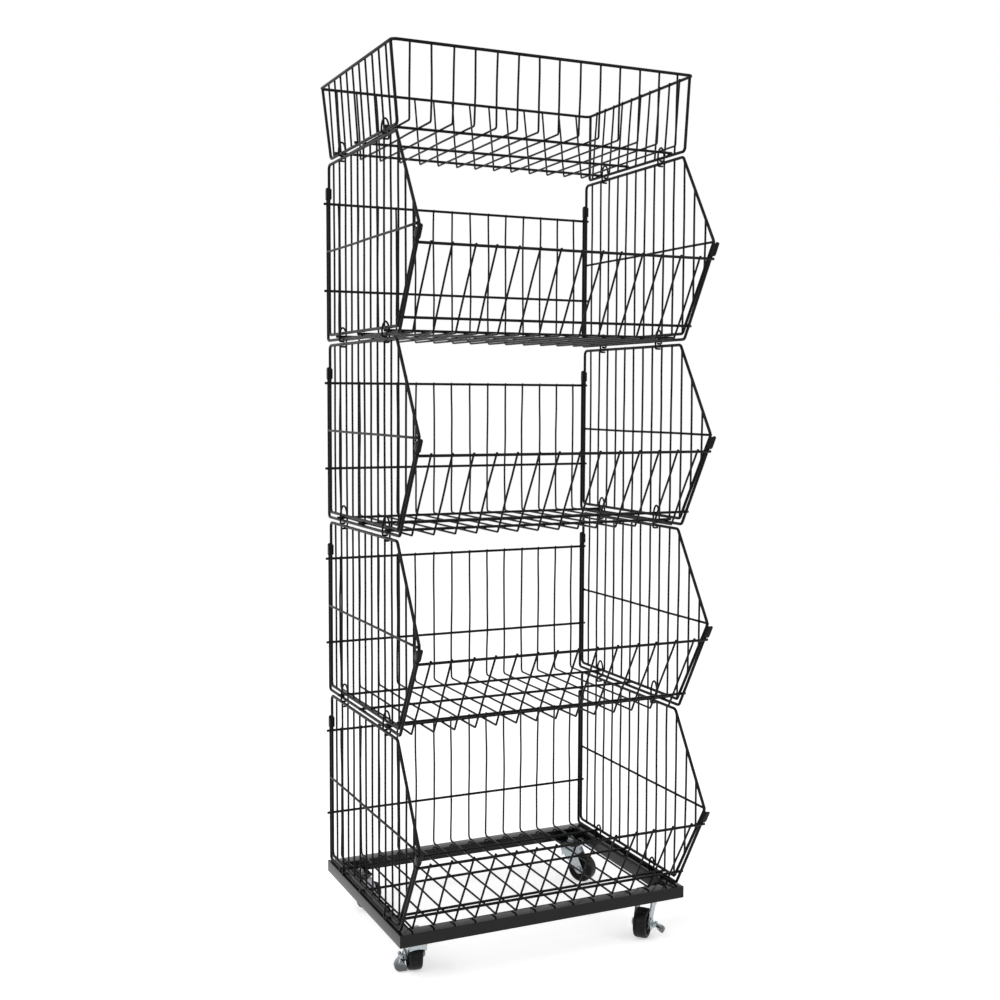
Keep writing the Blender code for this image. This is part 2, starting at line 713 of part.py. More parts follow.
def fork():
    crown = block(
        (-CROWN_FRONT + 1 * MM, -FORK_OUTER + 0.4 * MM, CROWN_BOTTOM),
        (CROWN_BACK - 1 * MM, FORK_OUTER - 0.4 * MM, CROWN_TOP),
    )
    low = CROWN_BOTTOM + 0.6 * MM
    table = rod(TURNTABLE_RADIUS, TURNTABLE_TOP - low, 16)
    table.transform(Matrix.Translation((0, 0, (TURNTABLE_TOP + low) / 2)))
    apron = block(
        (-CROWN_FRONT + 0.3 * MM, -FORK_OUTER + 0.6 * MM, CROWN_TOP - APRON_DROP),
        (-CROWN_FRONT + 0.3 * MM + FORK_SHEET, FORK_OUTER - 0.6 * MM, CROWN_TOP - 0.7 * MM),
    )
    body = joined(crown, together(fork_leg(-1), fork_leg(1)), table, apron)
    bore = rod(KING_RADIUS + GAP, 4 * CROWN_SHEET, 12)
    bore.transform(Matrix.Translation((0, 0, CROWN_BOTTOM)))
    return cut(body, bore)


def pedal():
    """Brake pedal: a scoop with side walls, crowned outward, along +y from two hinge rings along x."""
    bore = PIN_RADIUS + GAP
    near = EYE_WIDTH / 2 + GAP
    far = BARREL_LENGTH / 2
    rings = [
        turned([(bore, a), (BARREL_RADIUS, a), (BARREL_RADIUS, b), (bore, b)], 10)
        for a, b in ((-far, -near), (near, far))
    ]
    long, crown = PEDAL_LENGTH, PEDAL_CROWN
    root_out, root_in = (2.0 * MM, 2.2 * MM), (2.9 * MM, 0.7 * MM)
    rise_out, rise_in = (0.22 * long, 0.68 * crown), (0.22 * long + 1.2 * MM, 0.68 * crown - 1.6 * MM)
    outer = [(0.4, 1.0), (0.6, 1.0), (0.8, 0.66), (0.96, 0.1)]
    outer = [(y * long, z * crown) for y, z in outer]
    toe = (long, -PEDAL_LIP)
    inward = [(0.4, -2.0), (-0.4, -2.0), (-1.1, -1.6), (-1.6, -0.7)]
    under = [(y + a * MM, z + b * MM) for (y, z), (a, b) in zip(outer, inward)]
    toe_in = (long - 1.8 * MM, -PEDAL_LIP - 0.4 * MM)
    sheet = [rise_out, *outer, toe, toe_in, *reversed(under), rise_in]
    neck = [root_out, rise_out, outer[0], under[0], rise_in, root_in]
    wall = [rise_out, *outer, (0.92 * long, -5.0 * MM), (0.35 * long, -2.0 * MM), (0.23 * long, 2.5 * MM)]
    upright = Matrix(((0, 0, 1, 0), (1, 0, 0, 0), (0, 1, 0, 0), (0, 0, 0, 1)))

    def slab(outline, middle, width):
        return moved(plate(outline, width), Matrix.Translation((middle, 0, 0)) @ upright)

    edge = (PEDAL_WIDTH - PEDAL_SHEET) / 2
    walls = together(slab(wall, -edge, PEDAL_SHEET), slab(wall, edge, PEDAL_SHEET))
    scoop = joined(slab(sheet, 0.0, PEDAL_WIDTH - 0.4 * MM), walls)
    return joined(along_x(together(*rings), (0, 0, 0)), slab(neck, 0.0, BARREL_LENGTH - 1 * MM), scoop)


def wheel():
    half = WHEEL_WIDTH / 2
    bore = AXLE_RADIUS + GAP
    shoulder = 3 * MM
    return turned(
        [
            (bore, -half),
            (WHEEL_RADIUS - shoulder, -half),
            (WHEEL_RADIUS, -half + shoulder),
            (WHEEL_RADIUS, half - shoulder),
            (WHEEL_RADIUS - shoulder, half),
            (bore, half),
        ],
        24,
    )


def axle(braked):
    """Headed axle along y; a braked one carries the pedal's hinge pin in an eye on its outer end."""
    inner = FORK_OUTER + GAP
    bar = turned(
        [
            (0.0, -AXLE_END),
            (AXLE_HEAD_RADIUS, -AXLE_END),
            (AXLE_HEAD_RADIUS, -inner),
            (AXLE_RADIUS, -inner),
            (AXLE_RADIUS, inner),
            (AXLE_HEAD_RADIUS, inner),
            (AXLE_HEAD_RADIUS, AXLE_END),
            (0.0, AXLE_END),
        ],
        10,
    )
    bar = moved(bar, UPRIGHT)
    if not braked:
        return bar
    half = EYE_WIDTH / 2
    thick = 0.8 * EYE_RADIUS
    shank = block((-half, AXLE_END - 1 * MM, -thick), (half, HINGE_REACH, thick))
    eye = along_x(rod(EYE_RADIUS, EYE_WIDTH - 0.4 * MM, 12), (0, HINGE_REACH, 0))
    pin = along_x(rod(PIN_RADIUS, BARREL_LENGTH + 1 * MM, 8), (0, HINGE_REACH, 0))
    return joined(bar, shank, eye, pin)


gusset_mesh = gusset()
stem_mesh = caster_stem()
fork_mesh = fork()
axles = {True: axle(True), False: axle(False)}
wheel_mesh = moved(wheel(), UPRIGHT)
pedal_mesh = pedal()

for corner, (right, rear, trail_turn, pedal_angle) in CASTERS.items():
    edge_x = right * BASE_WIDTH / 2
    edge_y = BASE_BACK if rear > 0 else BASE_FRONT
    inner = Vector((edge_x - right * TUBE_WIDTH, edge_y - rear * TUBE_WIDTH, CASTER_HEIGHT + GUSSET_SHEET / 2))
    corner_turn = math.atan2(-rear, -right) - math.pi / 4
    piece(f"base_{corner}_gusset", gusset_mesh, BLACK, inner, turn=(0, 0, corner_turn))
    centre = Vector((edge_x - right * CASTER_INSET, edge_y - rear * CASTER_INSET, 0.0))
    piece(f"{corner}_caster_stem", stem_mesh, ZINC, centre)
    swivel = bpy.data.objects.new(f"{corner}_swivel_axis", None)
    rack.objects.link(swivel)
    swivel.parent = root
    swivel.location = centre
    swivel.rotation_euler = (0, 0, math.radians(trail_turn))
    piece(f"{corner}_caster_fork", fork_mesh, ZINC, parent=swivel)
    hub = (TRAIL, 0, WHEEL_RADIUS)
    piece(f"{corner}_caster_axle", axles[pedal_angle is not None], ZINC, hub, parent=swivel)
    piece(f"{corner}_caster_wheel", wheel_mesh, RUBBER, hub, parent=swivel)
    if pedal_angle is not None:
        tilt = (-math.radians(pedal_angle), 0, 0)
        piece(f"{corner}_brake_pedal", pedal_mesh, ZINC, (TRAIL, HINGE_REACH, WHEEL_RADIUS), swivel, tilt)

# Centre the rack's footprint on the origin
bpy.context.view_layer.update()
reach = [
    (thing.matrix_world @ vertex.co).y
    for thing in rack.objects
    if thing.type == "MESH"
    for vertex in thing.data.vertices
]
root.location.y = -(min(reach) + max(reach)) / 2
bpy.context.view_layer.update()
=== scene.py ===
"""Looks of the rolling wire display rack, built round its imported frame."""
import math
import random

import bmesh
import bpy
from mathutils import Matrix, Vector


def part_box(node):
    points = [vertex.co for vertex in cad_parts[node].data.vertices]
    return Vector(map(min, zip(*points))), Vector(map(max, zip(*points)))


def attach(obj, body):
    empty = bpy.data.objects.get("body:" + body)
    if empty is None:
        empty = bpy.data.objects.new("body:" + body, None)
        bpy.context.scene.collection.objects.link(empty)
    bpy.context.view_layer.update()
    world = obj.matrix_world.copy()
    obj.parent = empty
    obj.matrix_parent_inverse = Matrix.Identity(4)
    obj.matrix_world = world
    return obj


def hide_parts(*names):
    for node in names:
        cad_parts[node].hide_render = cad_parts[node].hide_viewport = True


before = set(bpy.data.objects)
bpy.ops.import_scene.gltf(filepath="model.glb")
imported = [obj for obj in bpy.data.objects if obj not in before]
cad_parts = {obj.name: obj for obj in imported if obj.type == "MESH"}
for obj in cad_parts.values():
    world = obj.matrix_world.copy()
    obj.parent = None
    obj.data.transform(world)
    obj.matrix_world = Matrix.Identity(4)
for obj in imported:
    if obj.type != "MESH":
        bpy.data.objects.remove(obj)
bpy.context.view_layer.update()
MM = 0.001

# Sizes of the frame, in metres: the same values that drive the solids
FRAME_WIRE = 5.0 * MM
CROSS_WIRE = 4.5 * MM
MESH_WIRE = 3.0 * MM
BRACE_WIRE = 4.0 * MM
LINK_WIRE = 3.2 * MM
WELD = 0.5 * MM
GAP = 0.3 * MM
TIERS = 4
HALF_SPAN = 250.0 * MM
PANEL_HEIGHT = 288.2 * MM
PANEL_TOP_DEPTH = 332.0 * MM
PANEL_BOTTOM_DEPTH = 337.0 * MM
TIP_DEPTH = 425.0 * MM
TIP_HEIGHT = 141.5 * MM
PANEL_BEND = 8.0 * MM
PANEL_WIRES = 13
FIRST_WIRE = 25.2 * MM
PANEL_PITCH = 374.8 * MM / (PANEL_WIRES - 1)
CRADLE_WIRES = 14
CRADLE_MARGIN = 20.0 * MM
CRADLE_PITCH = 460.0 * MM / (CRADLE_WIRES - 1)
BACK_BEND = 6.0 * MM
FRONT_BEND = 8.0 * MM
BACK_CROSS_LOW = 85.0 * MM
BACK_CROSS_HIGH = 233.0 * MM
BOTTOM_CROSS = (0.196, 0.511, 0.869)
FRONT_CROSS_LOW = 0.13
FRONT_CROSS_HIGH = 0.85
CROSS_OVERHANG = 8.0 * MM
HIGH_OVERHANG = 4.5 * MM
WIRE_TIP = 2.0 * MM
PLATE_START = 4.75 * MM
PLATE_SHEET = 2.0 * MM
FRONT_PLATE_LENGTH = 24.0 * MM
BACK_PLATE_LENGTH = 23.0 * MM
TRAY_HEIGHT = 120.5 * MM
TRAY_FRONT = -336.0 * MM
TRAY_BACK = -12.0 * MM
TRAY_DEPTH = 324.0 * MM
RIM_X = 260.0 * MM
RIM_FRONT = -341.0 * MM
RIM_BACK = 12.0 * MM
RIM_BEND = 8.0 * MM
TRAY_CROSS = (0.10, 0.42, 0.86)
TRAY_SIDE_WIRES = 10
TRAY_SIDE_PITCH = 281.1 * MM / (TRAY_SIDE_WIRES - 1)
TRAY_SIDE_BACK = 13.2 * MM
STAPLE_RISE = 19.0 * MM
LINK_STEPS = {"left": {"rear": 2.5, "front": 9.25}, "right": {"rear": 2.45, "front": 8.6}}
LINK_HALF = 6.0 * MM
STAPLE_HALF = 4.6 * MM
TUBE_WIDTH = 25.0 * MM
TUBE_HEIGHT = 20.0 * MM
NEST = 9.3 * MM
TIP_NEST = 5.5 * MM
LOOSE = 4.25 * MM
SEAT = 0.6 * MM
TIER_PITCH = 306.3 * MM
FIRST_TIER = 90.8 * MM
SIDES = {"left": -1, "right": 1}
TRAIL = 25.0 * MM
WHEEL_RADIUS = 25.0 * MM
HINGE_REACH = 22.0 * MM

# Turn of each caster and tip of its brake pedal, in degrees
CASTERS = {
    "front_left": (80.0, 80.0),
    "front_right": (-137.0, 32.0),
    "rear_right": (-57.0, None),
    "rear_left": (33.0, None),
}

# Drawn otherwise than in the solids, as the photo shows it
MESH_DRAWN = 3.45 * MM
THIN_BEND = 3.5 * MM
LINK_RISE = (27.0 * MM, 27.0 * MM, 20.0 * MM, 19.0 * MM)
TRAY_FLOOR_BACK = 3.0 * MM
TRAY_FLOOR_FRONT = 7.0 * MM
TUBE_EDGE = 1.0 * MM

# The tray's side wires stand inside its end wires and rim, and end below and above them
SIDE_IN_LOW = 1.4 * MM
SIDE_IN_HIGH = 2.6 * MM
SIDE_BELOW = 1.2 * MM
SIDE_ABOVE = 2.3 * MM
SIDE_NUGGET_OUT = 0.8 * MM

# Facets round a wire, and the longest steps along one
THICK_SIDES = 12
CROSS_SIDES = 10
THIN_SIDES = 8
THIN_STEP = 24.0 * MM
BRACE_STEP = 40 * MM
CROSS_STEP = 60 * MM

# How far wires stray from their even places, in mm, and how far they sway along their length
SEED = 41
UPRIGHT_STRAY = 0.6
MESH_STRAY = 0.7
BRACE_SWAY = 0.5 * MM
UPRIGHT_SWAY = 1.1 * MM
CRADLE_SWAY = 1.3 * MM
TRAY_SWAY = 1.1 * MM
TRAY_SIDE_SWAY = 0.9 * MM

# Half sizes of the weld nuggets at the ends of wires and seams
UPRIGHT_NUGGET = (MESH_WIRE * 0.72, FRAME_WIRE * 0.56, FRAME_WIRE * 0.42)
BRACE_NUGGET = (2.6 * MM, 2.6 * MM, 2.2 * MM)
FRONT_PLATE_NUGGET = (2.6 * MM, 2.2 * MM, 1.2 * MM)
BACK_PLATE_NUGGET = (2.4 * MM, 2.0 * MM, 1.0 * MM)
RIM_NUGGET = (3.0 * MM, 3.2 * MM, 2.2 * MM)
TRAY_NUGGET = (MESH_WIRE * 0.72, FRAME_WIRE * 0.5, FRAME_WIRE * 0.42)
TRAY_SIDE_NUGGET = (MESH_WIRE * 0.75, 2.0 * MM, 1.6 * MM)
STAPLE_NUGGET = (2.4 * MM, 2.6 * MM, 0.8 * MM)
SEAM_NUGGET = (2.4 * MM, 2.1 * MM, 2.0 * MM)

# Wear and painted shade, from 0 to 1: rubbed coat, scuffed tread, darkened zinc, and painted shade on a fork
# leg
CUT_WEAR = 0.8
SIDE_CUT_WEAR = 0.6
PLATE_WEAR = 0.3
LINK_WEAR = 0.2
GUSSET_WEAR = 0.2
EYE_WEAR = 0.3
# Painted shade on the fork leg away from a brake pedal
FORK_PAINTED_SHADE = 0.85

ACROSS = Vector((1, 0, 0))
DEEP = Vector((0, 1, 0))
UP = Vector((0, 0, 1))

# The panels' back wire lies this far behind the front rail's front face
RAIL_TO_BACK = 357.0 * MM
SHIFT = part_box("base_front_rail")[0].y + RAIL_TO_BACK


# Materials
COAT_SPECK = (0.018, 0.018, 0.019)
COAT_RUB = (0.07, 0.07, 0.073)
ZINC_CELLS = (0.24, 0.29, 0.32)
# Dark zinc, used both for grime and for painted shade
ZINC_GRIME_AND_SHADE = (0.075, 0.080, 0.082)
TREAD_SCUFF = (0.035, 0.034, 0.033)


def tree_of(name):
    """New material with its node tree, its shader and the object's own coordinates."""
    made = bpy.data.materials.new(name)
    made.use_nodes = True
    tree = made.node_tree
    place = add(tree, "ShaderNodeTexCoord").outputs["Object"]
    return made, tree, tree.nodes["Principled BSDF"], place


def add(tree, kind, links=None, **values):
    """New node; a value goes to the setting of that name, or else to the socket."""
    node = tree.nodes.new(kind)
    for key, value in values.items():
        if hasattr(node, key):
            setattr(node, key, value)
        else:
            node.inputs[key.replace("_", " ")].default_value = value
    for socket, source in (links or {}).items():
        tree.links.new(source, node.inputs[socket])
    return node


def noise(tree, place, scale, detail):
    return add(tree, "ShaderNodeTexNoise", {"Vector": place}, Scale=scale, Detail=detail).outputs["Fac"]


def ramp(tree, source, stops):
    node = add(tree, "ShaderNodeValToRGB", {"Fac": source})
    points = node.color_ramp.elements
    while len(points) < len(stops):
        points.new(0.5)
    for point, (at, colour) in zip(points, stops):
        point.position = at
        point.color = (*colour, 1.0)
    return node.outputs["Color"]


def spread(tree, source, low, high, start=0.3, stop=0.7):
    """The source's values from start to stop, mapped to low to high."""
    limits = {"From_Min": start, "From_Max": stop, "To_Min": low, "To_Max": high}
    return add(tree, "ShaderNodeMapRange", {"Value": source}, **limits).outputs["Result"]


def blend_colour(tree, share, first, second):
    node = tree.nodes.new("ShaderNodeMix")
    node.data_type = "RGBA"
    tree.links.new(share, node.inputs["Factor"])
    for socket, value in ((node.inputs[6], first), (node.inputs[7], second)):
        if isinstance(value, tuple):
            socket.default_value = (*value, 1.0)
        else:
            tree.links.new(value, socket)
    return node.outputs[2]


def bumps(tree, layers):
    """Bump nodes in a chain, from (height, distance) pairs."""
    links = {}
    for height, distance in layers:
        node = add(tree, "ShaderNodeBump", {"Height": height, **links}, Strength=1.0, Distance=distance)
        links = {"Normal": node.outputs["Normal"]}
    return links["Normal"]


def wear_and_shade_factor(tree):
    return add(tree, "ShaderNodeAttribute", attribute_name="wear_and_shade").outputs["Fac"]


def patchy(tree, place, scale, detail):
    """Wear broken up by noise."""
    factors = {0: wear_and_shade_factor(tree), 1: noise(tree, place, scale, detail)}
    return add(tree, "ShaderNodeMath", factors, operation="MULTIPLY").outputs[0]


def powder_coat(name, dark, light, sheen, rough):
    made, tree, shader, place = tree_of(name)
    cloud = noise(tree, place, 28.0, 4.0)
    speck = noise(tree, place, 1900.0, 1.0)
    base = ramp(tree, cloud, [(0.3, (dark, dark, dark * 1.04)), (0.7, (light, light, light * 1.03))])
    base = blend_colour(tree, spread(tree, speck, 0.0, 0.3, 0.62, 0.74), base, COAT_SPECK)
    rub = patchy(tree, place, 420.0, 3.0)
    base = blend_colour(tree, spread(tree, rub, 0.0, 0.6, 0.4, 0.66), base, COAT_RUB)
    tree.links.new(base, shader.inputs["Base Color"])
    tree.links.new(spread(tree, noise(tree, place, 60.0, 3.0), *rough), shader.inputs["Roughness"])
    shader.inputs["Specular IOR Level"].default_value = sheen
    peel = bumps(tree, [(noise(tree, place, 620.0, 2.0), 0.00003), (speck, 0.00001)])
    tree.links.new(peel, shader.inputs["Normal"])
    return made


def zinc_plate():
    made, tree, shader, place = tree_of("bright_zinc_plate")
    cells = add(tree, "ShaderNodeTexVoronoi", {"Vector": place}, Scale=260.0).outputs["Distance"]
    tint = noise(tree, place, 60.0, 3.0)
    base = ramp(tree, tint, [
        (0.32, (0.27, 0.37, 0.41)),
        (0.44, (0.46, 0.50, 0.50)),
        (0.56, (0.42, 0.45, 0.49)),
        (0.68, (0.38, 0.35, 0.41)),
    ])
    base = blend_colour(tree, spread(tree, cells, 0.0, 0.3, 0.1, 0.7), base, ZINC_CELLS)
    # The zinc is darkened by the point mark: grime on the hinge eye, the pedal darker further from its hinge,
    # and painted shade on the fork leg away from a brake pedal
    base = blend_colour(tree, wear_and_shade_factor(tree), base, ZINC_GRIME_AND_SHADE)
    tree.links.new(base, shader.inputs["Base Color"])
    shader.inputs["Metallic"].default_value = 1.0
    tree.links.new(spread(tree, noise(tree, place, 240.0, 3.0), 0.22, 0.40), shader.inputs["Roughness"])
    stretch = add(tree, "ShaderNodeMapping", {"Vector": place}, Scale=(1.0, 1.0, 0.12))
    lines = noise(tree, stretch.outputs["Vector"], 1500.0, 2.0)
    tree.links.new(bumps(tree, [(lines, 0.00002), (tint, 0.0002)]), shader.inputs["Normal"])
    return made


def tread_rubber():
    made, tree, shader, place = tree_of("black_tread")
    cloud = noise(tree, place, 90.0, 4.0)
    base = ramp(tree, cloud, [(0.3, (0.004, 0.004, 0.004)), (0.7, (0.007, 0.007, 0.0073))])
    scuff = patchy(tree, place, 210.0, 5.0)
    base = blend_colour(tree, spread(tree, scuff, 0.0, 0.6, 0.46, 0.8), base, TREAD_SCUFF)
    tree.links.new(base, shader.inputs["Base Color"])
    tree.links.new(spread(tree, noise(tree, place, 150.0, 3.0), 0.36, 0.54), shader.inputs["Roughness"])
    shader.inputs["Specular IOR Level"].default_value = 0.15
    grain = bumps(tree, [(noise(tree, place, 900.0, 2.0), 0.00005)])
    tree.links.new(grain, shader.inputs["Normal"])
    return made


COAT = powder_coat("satin_black_powder_coat", 0.005, 0.008, 0.08, (0.24, 0.36))
TUBE_COAT = powder_coat("gloss_black_powder_coat", 0.005, 0.008, 0.20, (0.13, 0.21))
ZINC = zinc_plate()
TREAD = tread_rubber()
FINISH = {"black_coat": COAT, "zinc": ZINC, "wheel_tread": TREAD}

# Meshes
# A wire's cut end: size of its face and length of its chamfer, as shares of the radius
END_FACE = 0.75
END_CHAMFER = 0.3
EASED_EDGE = 0.4 * MM
QUADRANTS = ((-1, -1, 180), (1, -1, 270), (1, 1, 0), (-1, 1, 90))


def around(steps):
    """Angles of one turn."""
    return [2 * math.pi * j / steps for j in range(steps)]


class Shell:
    """Closed surfaces gathered for one piece, with a value of wear and painted shade at each point."""

    def __init__(self):
        self.points = []
        self.faces = []
        self.wear_and_shade = []

    def put(self, points, faces, wear_and_shade, matrix):
        start = len(self.points)
        self.points += [matrix @ p for p in points] if matrix else list(points)
        self.faces += [[start + i for i in face] for face in faces]
        self.wear_and_shade += wear_and_shade if isinstance(wear_and_shade, list) else [wear_and_shade] * len(points)

    def grid(self, rows, closed=False, wear_and_shade=0.0, matrix=None):
        """Rings of points joined into a skin: in a closed loop, or with the first and last ring filled."""
        count = len(rows[0])
        points = [p for row in rows for p in row]
        faces = []
        for i in range(len(rows) if closed else len(rows) - 1):
            below, above = i * count, (i + 1) % len(rows) * count
            for j in range(count):
                k = (j + 1) % count
                faces.append([below + j, below + k, above + k, above + j])
        if not closed:
            faces.append(list(range(count))[::-1])
            faces.append(list(range(len(points) - count, len(points))))
        self.put(points, faces, wear_and_shade, matrix)

    def tube(self, path, diameter, sides, closed=False, wear_and_shade=0.0, ends=0.0):
        """Round wire along a path, its cut ends chamfered; ends is the wear there."""
        radius = diameter / 2
        count = len(path)
        runs = []
        for i, point in enumerate(path):
            before = path[i - 1] if i or closed else point
            after = path[(i + 1) % count] if i < count - 1 or closed else point
            runs.append((after - before).normalized())
        axis = min((ACROSS, DEEP, UP), key=lambda a: abs(a.dot(runs[0])))
        normal = runs[0].cross(axis).normalized()
        rings = []
        marks = []

        def ring(middle, run, across, size, mark):
            other = run.cross(across)
            rings.append([middle + (across * math.cos(a) + other * math.sin(a)) * size for a in around(sides)])
            marks.extend([mark] * sides)

        for i, (point, run) in enumerate(zip(path, runs)):
            if i:
                normal = runs[i - 1].rotation_difference(run) @ normal
            if not closed and i == 0:
                ring(point, run, normal, radius * END_FACE, ends)
                ring(point + run * radius * END_CHAMFER, run, normal, radius, ends)
            elif not closed and i == count - 1:
                ring(point - run * radius * END_CHAMFER, run, normal, radius, ends)
                ring(point, run, normal, radius * END_FACE, ends)
            else:
                ring(point, run, normal, radius, wear_and_shade)
        self.grid(rings, closed, marks)

    def bead(self, middle, first, second, sizes):
        """Weld nugget: an ellipsoid with half sizes along first, second and their normal."""
        third = first.cross(second).normalized()
        rows = []
        for level in (-0.88, -0.45, 0.0, 0.45, 0.88):
            wide = math.sqrt(1 - level * level)
            rows.append([
                middle + first * sizes[0] * wide * math.cos(a) + second * sizes[1] * wide * math.sin(a)
                + third * sizes[2] * level
                for a in around(8)
            ])
        self.grid(rows)

    def solid(self, work, matrix, wear_and_shade):
        work.verts.index_update()
        faces = [[v.index for v in f.verts] for f in work.faces]
        self.put([v.co.copy() for v in work.verts], faces, wear_and_shade, matrix)
        work.free()

    def block(self, low, high, bevel, matrix, wear_and_shade=0.0):
        """Block between two corners with rounded edges."""
        work = bmesh.new()
        size = [b - a for a, b in zip(low, high)]
        middle = [(a + b) / 2 for a, b in zip(low, high)]
        place = Matrix.Translation(middle) @ Matrix.Diagonal((*size, 1.0))
        bmesh.ops.create_cube(work, size=1.0, matrix=place)
        bmesh.ops.bevel(work, geom=work.edges[:], offset=bevel, segments=2, profile=0.5, affect="EDGES")
        self.solid(work, matrix, wear_and_shade)

    def plaque(self, low, high, radius, near, far, matrix, wear_and_shade):
        """Flat plate in x and z with rounded corners, from y = near to far, its edges eased."""
        rows = []
        levels = ((near, EASED_EDGE), (near + EASED_EDGE, 0.0), (far - EASED_EDGE, 0.0), (far, EASED_EDGE))
        for y, inset in levels:
            row = []
            for cx, cz, start in QUADRANTS:
                x = (high[0] if cx > 0 else low[0]) - cx * radius
                z = (high[1] if cz > 0 else low[1]) - cz * radius
                bend = radius - inset
                for i in range(6):
                    a = math.radians(start + 18 * i)
                    row.append(Vector((x + bend * math.cos(a), y, z + bend * math.sin(a))))
            rows.append(row)
        self.grid(rows, False, wear_and_shade, matrix)

    def turned(self, profile, steps, matrix=None, ring=False, wear_and_shade=0.0):
        """Round solid from (radius, height) points in mm; a ring profile is closed on itself."""
        rows = []
        for radius, height in profile:
            rows.append([
                Vector((radius * MM * math.cos(a), radius * MM * math.sin(a), height * MM))
                for a in around(steps)
            ])
        marks = [w for w in wear_and_shade for _ in range(steps)] if isinstance(wear_and_shade, list) else wear_and_shade
        self.grid(rows, ring, marks, matrix)

    def hexagon(self, flat, low, high, matrix=None):
        """Chamfered nut or bolt head; flat is half the size across flats."""
        rows = []
        lift = 0.16 * (high - low)
        for height, limit in ((low, 1.0), (low + lift, 2.0), (high - lift, 2.0), (high, 1.0), (high, 0.62)):
            row = []
            for a in around(36):
                corner = flat / math.cos((a % (math.pi / 3)) - math.pi / 6)
                reach = min(corner, flat * limit)
                row.append(Vector((reach * math.cos(a), reach * math.sin(a), height)))
            rows.append(row)
        self.grid(rows, matrix=matrix)

    def object(self, name, slot, body, *nodes, matrix=None, sharp=42.0, finish=None):
        """The piece itself; edges sharper than the angle sharp are not smoothed."""
        mesh = bpy.data.meshes.new(name)
        mesh.from_pydata([tuple(p) for p in self.points], [], self.faces)
        mark = mesh.attributes.new("wear_and_shade", "FLOAT", "POINT")
        mark.data.foreach_set("value", self.wear_and_shade)
        work = bmesh.new()
        work.from_mesh(mesh)
        bmesh.ops.recalc_face_normals(work, faces=work.faces)
        work.to_mesh(mesh)
        work.free()
        if matrix:
            mesh.transform(matrix)
        mesh.materials.append(finish or FINISH[slot])
        mesh.shade_smooth()
        mesh.set_sharp_from_angle(angle=math.radians(sharp))
        thing = bpy.data.objects.new(name, mesh)
        bpy.context.scene.collection.objects.link(thing)
        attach(thing, body)
        if nodes:
            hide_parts(*nodes)


# Paths of the wires
def bent(corners, radii, steps=6):
    """Points of the bends at a path's inner corners."""
    path = []
    for before, corner, after, radius in zip(corners, corners[1:], corners[2:], radii):
        arrive = (corner - before).normalized()
        leave = (after - corner).normalized()
        turn = arrive.angle(leave)
        start = corner - arrive * radius * math.tan(turn / 2)
        inward = (leave - arrive * arrive.dot(leave)).normalized()
        for i in range(steps + 1):
            angle = turn * i / steps
            path.append(start + (arrive * math.sin(angle) + inward * (1 - math.cos(angle))) * radius)
    return path


def bent_open(corners, radii, steps=6):
    return [corners[0], *bent(corners, radii, steps), corners[-1]]


def bent_loop(corners, radii):
    return bent([corners[-1], *corners, corners[0]], radii)


def fine(path, spacing=THIN_STEP):
    """The same path with points no further apart than spacing."""
    made = [path[0]]
    for a, b in zip(path, path[1:]):
        count = max(1, math.ceil((b - a).length / spacing))
        made += [a.lerp(b, (i + 1) / count) for i in range(count)]
    return made


def swayed(path, along, draw, size):
    """A hand-worked wire: slow waves along its length and a small lean, in one direction."""
    waves = [
        (draw.uniform(0.5, 1.0), draw.uniform(190, 330), 0.6),
        (draw.uniform(0.3, 1.0), draw.uniform(80, 130), 0.25),
    ]
    phases = [draw.uniform(0, 2 * math.pi) for _ in waves]
    lean = draw.uniform(-1.0, 1.0)
    length = 0.0
    total = sum((b - a).length for a, b in zip(path, path[1:]))
    made = []
    for i, point in enumerate(path):
        if i:
            length += (point - path[i - 1]).length
        shift = lean * (length / total - 0.5)
        for (size_share, wave, weight), phase in zip(waves, phases):
            shift += size_share * weight * math.sin(2 * math.pi * length / (wave * MM) + phase)
        made.append(point + along * shift * size)
    return made


def weld(shell, first, second, run_a, run_b, wire_a, wire_b):
    """Nugget where two crossing wires touch, first on the thinner one."""
    line = second - first
    spot = first + line.normalized() * (wire_a / 2 - WELD / 2)
    shell.bead(spot, run_a, run_b, (wire_b * 0.44, wire_a * 0.66, wire_a * 0.36))


def cross_bar(shell, reach, y, z, run, thin, ends):
    """Straight wire across, welded to each wire that it passes; run is how those go there."""
    bar = fine([Vector((-reach, y, z)), Vector((reach, y, z))], CROSS_STEP)
    shell.tube(bar, CROSS_WIRE, CROSS_SIDES, ends=CUT_WEAR)
    for paths, wire in ((thin, MESH_WIRE), (ends, FRAME_WIRE)):
        for path in paths:
            spot = min(path, key=lambda p: (p.y - y) ** 2 + (p.z - z) ** 2)
            weld(shell, spot, Vector((spot.x, y, z)), run, ACROSS, wire, CROSS_WIRE)


# Baskets: outline of a side panel and slope of the cradle's front, as (y, z)
panel_corners = [
    (0.0, NEST),
    (-PANEL_BOTTOM_DEPTH, NEST),
    (-TIP_DEPTH, NEST + TIP_HEIGHT),
    (-PANEL_TOP_DEPTH, NEST + PANEL_HEIGHT),
    (0.0, NEST + PANEL_HEIGHT),
]
low_corner = Vector(panel_corners[1])
tip_corner = Vector(panel_corners[2])
slant = (tip_corner - low_corner).normalized()
outward = Vector((-slant.y, slant.x))
LOW_NEST = (NEST - FRONT_CROSS_LOW * TIP_NEST) / (1 - FRONT_CROSS_LOW)
front_low = low_corner + outward * LOW_NEST
front_tip = tip_corner + outward * TIP_NEST
front_run = front_tip - front_low
slope = front_run.normalized()
facing = Vector((-slope.y, slope.x))
bottom_front = front_low - front_run * (front_low.y / front_run.y)
FRONT_LENGTH = (front_tip - bottom_front).length
FRONT_HIGH = FRONT_CROSS_HIGH * FRONT_LENGTH
